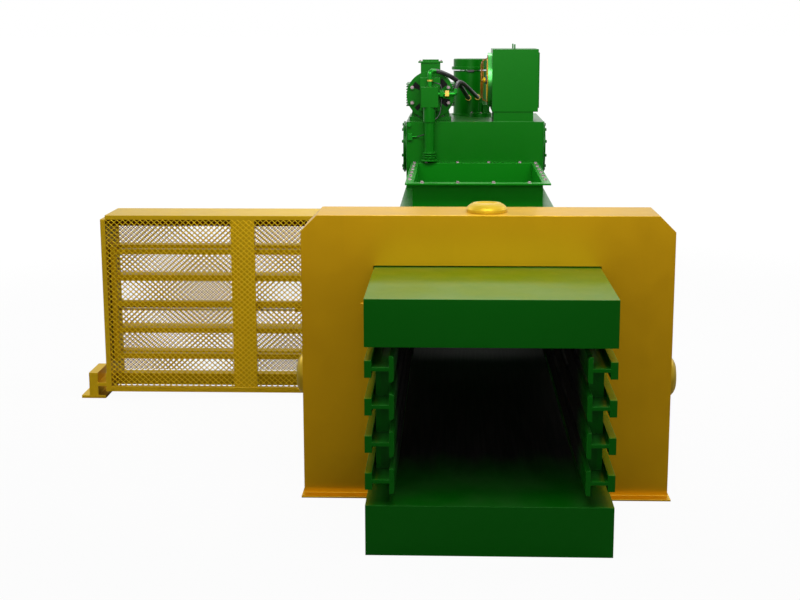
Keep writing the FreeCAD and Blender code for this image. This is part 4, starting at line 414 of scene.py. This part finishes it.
# A lighter copy of the green enamel: painted light on the hopper collar.
LIGHTENED_COLLAR_GREEN = enamel("hopper collar enamel lightened as painted light", colour(16, 122, 20), GREEN_EDGE_HIGHLIGHT, lacquer=0.3)
CAP_GOLD = enamel(
    "domed cap enamel", colour(204, 170, 42), YELLOW_EDGE_HIGHLIGHT, metallic=0.35, gloss=0.4, lacquer=0.06)
ORANGE = enamel("orange enamel", colour(150, 88, 14), colour(220, 150, 50), metallic=0.3, edge=0.001)
# Darker steel on the ram and blades: bale wear, and painted shade of the chamber's inside.
WORN_AND_SHADED_STEEL = metal(
    "steel with bale wear, darkened as painted shade", colour(70, 66, 64), colour(40, 34, 30), 0.5, (90.0, 3.0, 90.0), 0.38)
STEEL = metal(
    "ground steel", colour(150, 150, 152), colour(92, 78, 66), 0.45, (6.0, 160.0, 160.0), 0.3)
CHROME = metal(
    "chromed rod", colour(214, 216, 220), colour(150, 150, 156), 0.12, (300.0, 300.0, 300.0), 0.1)
ZINC = metal("plated bolts", colour(150, 132, 138), colour(92, 80, 82), 0.4, (90.0, 90.0, 90.0), 0.4)
BRASS = metal("brass", colour(212, 178, 84), colour(150, 104, 40), 0.3, (120.0, 120.0, 120.0), 0.25)
GREEN_BOLTS = enamel("green bolt enamel", GREEN_TONE, GREEN_EDGE_HIGHLIGHT, edge=0.0015)
# A lighter copy of the lemon enamel: painted light on the front net and the fan guard's hub.
LIGHTENED_NET_YELLOW = enamel(
    "lemon net enamel lightened as painted light", colour(255, 214, 36), YELLOW_EDGE_HIGHLIGHT, metallic=0.25, gloss=0.3, edge=0.0008)
# A darker copy of the lemon enamel: painted shade on the rear net.
SHADED_REAR_NET = enamel(
    "rear net enamel darkened as painted shade", colour(172, 130, 26), YELLOW_EDGE_HIGHLIGHT, metallic=0.85, gloss=0.3, edge=0.0008)
RUBBER = rubber("black rubber")
PLASTIC = plastic("grey plastic", colour(92, 94, 96))

FINISH_OF_SLOT = {
    "green_paint": GREEN,
    "yellow_paint": YELLOW,
    "pale_green_paint": LIGHTENED_RING_GREEN,
    "orange_paint": ORANGE,
    "bare_steel": STEEL,
    "chromed_rod": CHROME,
    "plated_bolts": ZINC,
    "brass": BRASS,
    "black_rubber": RUBBER,
    "grey_plastic": PLASTIC,
}
FINISH_OF_NODE = {
    "channel_floor": CHANNEL_FLOOR,
    "channel_wall_left": CHANNEL_WALL,
    "channel_wall_right": CHANNEL_WALL,
    "channel_lid": CHANNEL_LID,
    "tying_walls": CHAMBER,
    "tying_roof": CHAMBER,
    "press_base": CHAMBER,
    "press_sides": CHAMBER,
    "press_top_plate": CHAMBER,
    "ram_box": WORN_AND_SHADED_STEEL,
    "ram_knife": WORN_AND_SHADED_STEEL,
    "shear_blade": WORN_AND_SHADED_STEEL,
    "squeeze_arch": GOLD,
    "squeeze_caps": CAP_GOLD,
    "hopper_collar": LIGHTENED_COLLAR_GREEN,
    "motor_end_covers": BELL,
    "delivery_fittings": LIGHTENED_PIPE_GREEN,
    "level_switch": LIGHTENED_PIPE_GREEN,
}
for name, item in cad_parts.items():
    for slot in item.material_slots:
        slot.material = FINISH_OF_NODE.get(name, FINISH_OF_SLOT[slot.material.name.split(".")[0]])


# --------------------------------------------------------------------- shapes
HEAD_RADIUS, HEAD_TALL = 0.0155, 0.015
NET_PITCH_WIDE, NET_PITCH_TALL, NET_WIRE = 0.047, 0.0425, 0.0037
COLUMN_RADIUS = 0.204


def finished(name, bm, finish, body):
    """Turns a built mesh into a piece that rides on a body of the frame."""
    bmesh.ops.recalc_face_normals(bm, faces=bm.faces)
    mesh = bpy.data.meshes.new(name)
    bm.to_mesh(mesh)
    bm.free()
    mesh.materials.append(finish)
    piece = bpy.data.objects.new(name, mesh)
    bpy.context.scene.collection.objects.link(piece)
    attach(piece, body)
    return piece


def towards(direction):
    """The turn that carries +Z onto a direction."""
    return Vector(direction).to_track_quat("Z", "Y").to_matrix().to_4x4()


def middle_of(node):
    """The middle of a node's box."""
    low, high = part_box(node)
    return (Vector(low) + Vector(high)) / 2


def ease_edges(bm, edges, offset, segments=2):
    """Rounds or chamfers edges."""
    bmesh.ops.bevel(
        bm, geom=edges, offset=offset, segments=segments, profile=0.5, material=-1, affect="EDGES")


def spin_ring(bm, section, centre, axis, steps):
    """Carries a closed section once round an axis."""
    loop = section + list({edge for vert in section for edge in vert.link_edges})
    bmesh.ops.spin(bm, geom=loop, cent=centre, axis=axis, angle=math.tau, steps=steps, use_merge=True)


def add_rod(bm, start, end, radius, sides=6):
    """A closed round bar between two points."""
    start, end = Vector(start), Vector(end)
    run = end - start
    place = Matrix.Translation((start + end) / 2) @ towards(run)
    bmesh.ops.create_cone(
        bm, cap_ends=True, segments=sides, radius1=radius, radius2=radius, depth=run.length, matrix=place)


def add_bolt(bm, seat, out, radius, tall):
    """A washer and a chamfered hexagon head standing on a face."""
    seat, out = Vector(seat), Vector(out).normalized()
    washer, washer_foot, washer_rim, chamfer = (radius * share for share in (0.14, 1.22, 1.16, 0.16))
    turn = towards(out)
    bmesh.ops.create_cone(
        bm, cap_ends=True, segments=20, radius1=washer_foot, radius2=washer_rim, depth=washer,
        matrix=Matrix.Translation(seat + out * washer / 2) @ turn)
    middle = (washer + tall) / 2
    made = bmesh.ops.create_cone(
        bm, cap_ends=True, segments=6, radius1=radius, radius2=radius, depth=tall - washer,
        matrix=Matrix.Translation(seat + out * middle) @ turn)
    top = [vert for vert in made["verts"] if (vert.co - seat).dot(out) > middle]
    rim = {edge for vert in top for edge in vert.link_edges if edge.other_vert(vert) in top}
    ease_edges(bm, list(rim), chamfer, 1)


def add_ring(bm, centre, axis, radius, wire, sides=6):
    """A closed ring of round wire about an axis."""
    turn = towards(axis)
    start = Matrix.Translation(centre) @ turn @ Matrix.Translation((radius, 0, 0)) @ Matrix.Rotation(
        math.pi / 2, 4, "X")
    made = bmesh.ops.create_circle(bm, segments=sides, radius=wire, matrix=start)
    spin_ring(bm, made["verts"], centre, turn @ UP, 56)


def add_dome(bm, centre, radius, rings, segments):
    """A ball, of which only the part outside its seat shows."""
    bmesh.ops.create_uvsphere(
        bm, u_segments=segments, v_segments=rings, radius=radius, matrix=Matrix.Translation(centre))


def add_plate(bm, low, high):
    """A box between two corners."""
    low, high = Vector(low), Vector(high)
    place = Matrix.Translation((low + high) / 2) @ Matrix.Diagonal((*(high - low), 1.0))
    bmesh.ops.create_cube(bm, size=1.0, matrix=place)


def add_bead(bm, corners, radius=0.0055):
    """A fillet weld along a closed run of corners."""
    for start, end in zip(corners, corners[1:] + corners[:1]):
        add_rod(bm, start, end, radius, 8)
        add_dome(bm, start, radius, 6, 8)


def add_net_wires(bm, low, high, y, wire, rise):
    """Parallel wires across an upright opening, all leaning one way."""
    slope = NET_PITCH_TALL / NET_PITCH_WIDE * rise
    first = low.z - max(slope * low.x, slope * high.x)
    last = high.z - min(slope * low.x, slope * high.x)
    for i in range(1, int((last - first) / NET_PITCH_TALL) + 1):
        offset = first + NET_PITCH_TALL * i
        crossings = sorted(((low.z - offset) / slope, (high.z - offset) / slope))
        left, right = max(low.x, crossings[0]), min(high.x, crossings[1])
        if right - left > wire * 2:
            add_rod(bm, (left, y, slope * left + offset), (right, y, slope * right + offset), wire)


def net(name, node, finish):
    """Two layers of wires that bite into each other, in the opening that the solid sheet fills."""
    low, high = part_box(node)
    low, high = Vector(low), Vector(high)
    bm = bmesh.new()
    half_step = NET_WIRE * 0.55
    middle = (low.y + high.y) / 2
    add_net_wires(bm, low, high, middle - half_step, NET_WIRE, -1)
    add_net_wires(bm, low, high, middle + half_step, NET_WIRE, 1)
    piece = finished(name, bm, finish, "frame")
    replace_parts(piece, node)


def cord(name, points, radius):
    """A hose or cable through its route's points, both ends held in the machine."""
    line = bpy.data.curves.new(name, "CURVE")
    line.dimensions = "3D"
    line.bevel_depth = radius
    line.bevel_resolution = 4
    line.resolution_u = 10
    line.use_fill_caps = True
    run = line.splines.new("NURBS")
    run.points.add(len(points) - 1)
    for knot, spot in zip(run.points, points):
        knot.co = (*spot, 1.0)
    run.order_u = 3
    run.use_endpoint_u = True
    line.materials.append(RUBBER)
    piece = bpy.data.objects.new(name, line)
    bpy.context.scene.collection.objects.link(piece)
    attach(piece, "frame")
    return piece


# --------------------------------------------------------------- fine pieces
# Name, radius, length and route of each cord.
HOSES = (
    ("hose_one", 0.024, 1.159, (
        (-0.4196, 6.9057, 2.590), (-0.3786, 6.9625, 2.590), (-0.1959, 7.0849, 2.502),
        (-0.1319, 7.3302, 2.3919), (-0.0801, 7.5596, 2.302), (-0.060, 7.7398, 2.270),
        (-0.060, 7.8905, 2.270))),
    ("hose_two", 0.022, 1.142, (
        (-0.2018, 6.8466, 2.3984), (-0.1923, 6.918, 2.4603), (-0.146, 7.0796, 2.478),
        (-0.0621, 7.320, 2.392), (0.0081, 7.5403, 2.318), (0.042, 7.7405, 2.276),
        (0.042, 7.9057, 2.276))),
)
CABLES = (
    ("adapter_cable", 0.005, 0.191, (
        (-0.437, 6.880, 2.474), (-0.420, 6.812, 2.476), (-0.3465, 6.800, 2.4578),
        (-0.3465, 6.800, 2.3978))),
    ("side_valve_cable", 0.005, 0.240, (
        (-0.3465, 6.800, 2.3182), (-0.3505, 6.792, 2.2152), (-0.376, 6.752, 2.126),
        (-0.409, 6.742, 2.108))),
    ("switch_cable", 0.005, 0.113, (
        (-0.604, 6.812, 1.921), (-0.572, 6.800, 1.926), (-0.523, 6.742, 1.950))),
)


def make_filter_clamp():
    """Bright clamp band under the filter's lid, and the latch in the middle of its front."""
    low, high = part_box("filter_body")
    centre = Vector((high[0] - COLUMN_RADIUS, (low[1] + high[1]) / 2, 0.0))
    joint = high[2]
    outer, thick, tall = COLUMN_RADIUS + 0.0015, 0.004, 0.012
    half_wide, proud, sunk, drop, play = 0.034, 0.014, 0.02, 0.024, 0.0005
    bm = bmesh.new()
    place = centre + Vector((outer - thick / 2, 0.0, joint - 0.007))
    section = Matrix.Translation(place) @ Matrix.Rotation(math.pi / 2, 4, "X")
    section = section @ Matrix.Diagonal((thick, tall, 1.0, 1.0)) @ Matrix.Rotation(math.pi / 4, 4, "Z")
    made = bmesh.ops.create_circle(bm, segments=4, radius=math.sqrt(0.5), matrix=section)
    spin_ring(bm, made["verts"], centre, UP, 72)
    finished("filter_clamp_band", bm, CHROME, "frame")
    bm = bmesh.new()
    front = centre.y - outer
    add_plate(
        bm, (centre.x - half_wide, front - proud, joint - drop),
        (centre.x + half_wide, front + sunk, joint - play))
    ease_edges(bm, bm.edges[:], 0.002)
    finished("filter_latch", bm, RUBBER, "frame")


def make_cooler_core():
    """Finned core on the cooler's far side, where the fan's air leaves."""
    bm = bmesh.new()
    low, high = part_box("cooler_box")
    margin, lift, edge, deep = 0.035, 0.140, 0.016, 0.012
    fins, fin_half, fin_deep = 25, 0.0015, 0.007
    bars, bar_half, bar_deep = 6, 0.004, 0.0085
    face, front, rear = high[0], low[1] + margin, high[1] - margin
    bottom, top = low[2] + lift, high[2] - margin
    for height in (bottom, top - edge):
        add_plate(bm, (face, front, height), (face + deep, rear, height + edge))
    for along in (front, rear - edge):
        add_plate(bm, (face, along, bottom + edge), (face + deep, along + edge, top - edge))
    for i in range(1, fins + 1):
        height = bottom + edge + (top - bottom - edge * 2) * i / (fins + 1)
        add_plate(
            bm, (face, front + edge, height - fin_half), (face + fin_deep, rear - edge, height + fin_half))
    for i in range(1, bars + 1):
        along = front + (rear - front) * i / (bars + 1)
        add_plate(
            bm, (face, along - bar_half, bottom + edge), (face + bar_deep, along + bar_half, top - edge))
    finished("cooler_core_fins", bm, GREEN_BOLTS, "frame")


def make_weld_beads():
    """Fillet welds under the oil tank and under the cooler's pedestal."""
    bm = bmesh.new()
    out, lift = 0.001, 0.0015
    tank_low, tank_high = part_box("oil_tank")
    cooler_low, cooler_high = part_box("cooler_box")
    pedestal_low = cooler_low[0] + 0.017, cooler_low[1] + 0.010, cooler_low[2]
    pedestal_high = cooler_high[0] - 0.047, cooler_high[1] - 0.025
    for low, high in ((tank_low, tank_high), (pedestal_low, pedestal_high)):
        left, right, front, rear = low[0] - out, high[0] + out, low[1] - out, high[1] + out
        height = low[2] + lift
        add_bead(bm, [
            (left, front, height), (right, front, height), (right, rear, height), (left, rear, height)])
    finished("weld_beads", bm, GREEN_BOLTS, "frame")


def make_rear_top_bar():
    """Flat bar that holds the upper edge of the cage's rear net, in dark brown as painted shade."""
    plates_low, plates_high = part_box("cage_plates")
    net_low, net_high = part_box("cage_back_mesh")
    play, thick, tall = 0.0005, 0.0105, 0.1015
    left, right = plates_low[0] + 0.0015, plates_high[0] - 0.005
    back, top = net_low[1] - play, net_high[2] - play
    bm = bmesh.new()
    add_plate(bm, (left, back - thick, top - tall), (right, back, top))
    ease_edges(bm, bm.edges[:], 0.0015)
    finished("cage_rear_top_bar", bm, SHADE_BROWN, "frame")


def make_collar_bolts():
    """Washered heads round the hopper flange: four in front, four behind, six a side."""
    low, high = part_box("hopper_bolts")
    half_flat = HEAD_RADIUS * math.cos(math.radians(30))
    front, rear, side, top = low[1] + half_flat, high[1] - half_flat, high[0] - HEAD_RADIUS, low[2]
    first_across, step_across = -0.503, 0.3227
    first_along, step_along = 5.125, 0.315
    bm = bmesh.new()
    for i in range(4):
        for along in (front, rear):
            add_bolt(bm, (first_across + step_across * i, along, top), UP, HEAD_RADIUS, HEAD_TALL)
    for i in range(6):
        for across in (-side, side):
            add_bolt(bm, (across, first_along + step_along * i, top), UP, HEAD_RADIUS, HEAD_TALL)
    piece = finished("collar_bolts", bm, ZINC, "frame")
    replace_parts(piece, "hopper_bolts")


def make_manway_bolts():
    """Washered heads round the cover on each side of the oil tank."""
    face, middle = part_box("manway_covers")[1][0], middle_of("manway_covers")
    count, ring = 10, 0.240
    bm = bmesh.new()
    for side in (-1, 1):
        for i in range(count):
            angle = math.tau * (i + 0.5) / count
            along, height = middle.y + ring * math.cos(angle), middle.z + ring * math.sin(angle)
            add_bolt(bm, (face * side, along, height), (side, 0, 0), HEAD_RADIUS, HEAD_TALL)
    piece = finished("manway_bolt_heads", bm, GREEN_BOLTS, "frame")
    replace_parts(piece, "manway_bolts")


def make_small_bolts():
    """Bolts of the motor's bell, of the terminal box's cover and of the return flange."""
    bm = bmesh.new()
    bell, bell_face = middle_of("motor_end_covers"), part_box("motor_end_covers")[0][1]
    for across in (bell.x - 0.190, bell.x + 0.190):
        for height in (bell.z - 0.080, bell.z + 0.080):
            add_bolt(bm, (across, bell_face, height), (0, -1, 0), HEAD_RADIUS, 0.013)
    low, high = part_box("terminal_box")
    inset, cover_drop = 0.018, 0.018
    for across in (low[0] + 0.017, high[0] - 0.017):
        for along in (low[1] + inset, (low[1] + high[1]) / 2, high[1] - inset):
            add_bolt(bm, (across, along, high[2] - cover_drop), UP, 0.009, 0.010)
    flange, flange_ring = middle_of("return_fitting"), 0.098
    flange_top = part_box("return_fitting")[0][2] + 0.038
    for i in range(4):
        angle = math.tau * i / 4
        across, along = flange.x + flange_ring * math.cos(angle), flange.y + flange_ring * math.sin(angle)
        add_bolt(bm, (across, along, flange_top), UP, 0.011, 0.012)
    finished("plated_small_bolts", bm, ZINC, "frame")


def make_fan_guard():
    """Domed wire guard: rings and bowed arms out to a turned hub."""
    middle, rim = middle_of("fan_guard"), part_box("fan_guard")[1][0]
    face, reach, wire, ring_step, arms = 0.258, 0.066, 0.0026, 0.036, 6
    arm_radii = (face, 0.252, 0.243, 0.229, 0.208, 0.175, 0.02)
    hub_out, hub_radius, stem_radius = rim - 0.028, 0.027, 0.006
    inner_ring, inner_wire = 0.226, 0.005

    def bow(radius):
        return rim - reach * (1 - (radius / face) ** 9) - wire

    def axis_spot(out):
        return Vector((out, middle.y, middle.z))

    bm = bmesh.new()
    radius = face
    while radius > ring_step:
        add_ring(bm, axis_spot(bow(radius)), (1, 0, 0), radius, wire)
        radius -= ring_step
    for i in range(arms):
        angle = math.tau * (i + 0.5) / arms
        away = Vector((0, math.sin(angle), math.cos(angle)))
        spots = [axis_spot(bow(radius) - wire) + away * radius for radius in arm_radii]
        for near, far in zip(spots, spots[1:]):
            add_rod(bm, near, far, wire * 1.1)
    piece = finished("fan_guard_wires", bm, ORANGE, "frame")
    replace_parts(piece, "fan_guard")
    bm = bmesh.new()
    add_dome(bm, axis_spot(hub_out), hub_radius, 10, 20)
    add_rod(bm, axis_spot(hub_out), axis_spot(bow(arm_radii[-1])), stem_radius, 10)
    add_ring(bm, axis_spot(rim - 0.004), (1, 0, 0), inner_ring, inner_wire, 8)
    finished("fan_guard_hub", bm, LIGHTENED_NET_YELLOW, "frame")


for name, radius, length, points in HOSES:
    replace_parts(cord(name, points, radius), "pressure_hoses")
for name, radius, length, points in CABLES:
    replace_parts(cord(name, points, radius), "control_cables")
net("cage_front_net", "cage_front_mesh", LIGHTENED_NET_YELLOW)
net("cage_back_net", "cage_back_mesh", SHADED_REAR_NET)
make_filter_clamp()
make_cooler_core()
make_weld_beads()
make_rear_top_bar()
make_collar_bolts()
make_manway_bolts()
make_small_bolts()
make_fan_guard()


# --------------------------------------------------------------------- stage
# Name, place, aim, width, height and power of each lamp.
LAMPS = (
    ("far front", (0.0, -15.0, 5.5), (0.0, 4.0, 1.8), 16.0, 3.0, 250),
    ("mouth", (0.0, -1.6, 4.2), (0.0, 1.1, 1.5), 3.2, 1.0, 21),
    ("lid", (0.0, -0.3, 3.3), (0.0, 0.7, 1.5), 1.8, 0.8, 27),
    ("overhead", (0.0, 4.5, 9.0), (0.0, 4.5, 0.0), 8.0, 12.0, 50),
    ("tank", (0.0, 3.4, 4.8), (0.0, 6.9, 1.9), 5.0, 1.4, 210),
    ("cage", (1.0, 0.4, 5.0), (-1.9, 3.5, 0.8), 2.5, 2.0, 35),
    ("left side", (-10.0, 9.0, 8.5), (-1.0, 7.0, 1.0), 9.0, 3.0, 560),
    ("right side", (10.0, 9.0, 8.5), (1.0, 7.0, 1.0), 9.0, 3.0, 560),
    ("back", (0.0, 19.0, 13.0), (0.0, 10.0, 1.0), 8.0, 3.0, 650),
)


def make_floor():
    """Grey floor that is nearly white to the camera near the object and white further out."""
    extent, near_white, fade_start, fade_end = 400.0, 0.94, 5.0, 11.0
    mirror_start, mirror_end = 14.0, 40.0
    bm = bmesh.new()
    bmesh.ops.create_circle(bm, cap_ends=True, segments=96, radius=extent)
    mesh = bpy.data.meshes.new("floor")
    bm.to_mesh(mesh)
    bm.free()
    floor = bpy.data.objects.new("floor", mesh)
    bpy.context.scene.collection.objects.link(floor)
    finish, bench, shader = blank_finish("pale floor")
    where = bench.add("ShaderNodeTexCoord").outputs["Object"]
    dark, light = (0.36, 0.36, 0.36, 1), (0.41, 0.41, 0.41, 1)
    bench.feed(shader.inputs["Base Color"], bench.blend(bench.speckle(where, 2.0, 4.0), dark, light))
    shader.inputs["Roughness"].default_value = 0.9
    shader.inputs["Specular IOR Level"].default_value = 0.1
    middle = bench.add("ShaderNodeMapping", Vector=where, Location=(0.3, -4.5, 0.0)).outputs["Vector"]
    reach = bench.add("ShaderNodeVectorMath", {"operation": "LENGTH"})
    bench.feed(reach.inputs[0], middle)
    white_share = bench.band(reach.outputs["Value"], fade_start, fade_end, near_white, 1.0)
    distant = bench.band(reach.outputs["Value"], mirror_start, mirror_end)
    rays = bench.add("ShaderNodeLightPath").outputs
    mirrored = bench.maths("MAXIMUM", rays["Is Glossy Ray"], rays["Is Transmission Ray"])
    seen = bench.maths("MAXIMUM", rays["Is Camera Ray"], bench.maths("MULTIPLY", distant, mirrored))
    white = bench.add("ShaderNodeEmission", Color=WHITE, Strength=1.02)
    mixer = bench.add("ShaderNodeMixShader")
    bench.feed(mixer.inputs[0], bench.maths("MULTIPLY", seen, white_share))
    bench.feed(mixer.inputs[1], shader.outputs[0])
    bench.feed(mixer.inputs[2], white.outputs[0])
    bench.feed(finish.node_tree.nodes["Material Output"].inputs["Surface"], mixer.outputs[0])
    mesh.materials.append(finish)


def make_world():
    """A backdrop that looks white and is mirrored white, but lights the object only faintly."""
    world = bpy.data.worlds.new("studio")
    bpy.context.scene.world = world
    world.use_nodes = True
    bench = Bench(world.node_tree)
    backdrop = world.node_tree.nodes["Background"]
    rays = bench.add("ShaderNodeLightPath").outputs
    mirrored = bench.maths("MAXIMUM", rays["Is Glossy Ray"], rays["Is Transmission Ray"])
    seen = bench.maths("MAXIMUM", rays["Is Camera Ray"], mirrored)
    light = 0.1
    backdrop.inputs["Color"].default_value = WHITE
    bench.feed(backdrop.inputs["Strength"], bench.maths("MULTIPLY_ADD", seen, 1.0 - light, light))


def add_lamp(name, place, aim, width, height, power):
    """A white rectangular lamp that the camera doesn't see."""
    lamp = bpy.data.lights.new(name, "AREA")
    lamp.shape = "RECTANGLE"
    lamp.size, lamp.size_y = width, height
    lamp.energy = power
    lamp.color = (1.0, 1.0, 1.0)
    item = bpy.data.objects.new(name, lamp)
    bpy.context.scene.collection.objects.link(item)
    item.visible_camera = False
    item.matrix_world = Matrix.Translation(place) @ towards(Vector(place) - Vector(aim))


def add_camera():
    """The camera that was fitted to the photograph."""
    picture_wide, focal = 800, 1400.242
    place = (-0.21435, -7.757, 3.03879)
    turn, tip, roll = (math.radians(angle) for angle in (2.226, 90 - 11.036, -0.139))
    camera = bpy.data.cameras.new("camera")
    camera.sensor_width = 36.0
    camera.lens = focal / picture_wide * camera.sensor_width
    camera.clip_start, camera.clip_end = 0.1, 1000.0
    item = bpy.data.objects.new("camera", camera)
    bpy.context.scene.collection.objects.link(item)
    item.matrix_world = (
        Matrix.Translation(place) @ Matrix.Rotation(turn, 4, "Z")
        @ Matrix.Rotation(tip, 4, "X") @ Matrix.Rotation(roll, 4, "Z"))
    bpy.context.scene.camera = item


bpy.context.scene.view_settings.view_transform = "Standard"
make_floor()
make_world()
for lamp_values in LAMPS:
    add_lamp(*lamp_values)
add_camera()
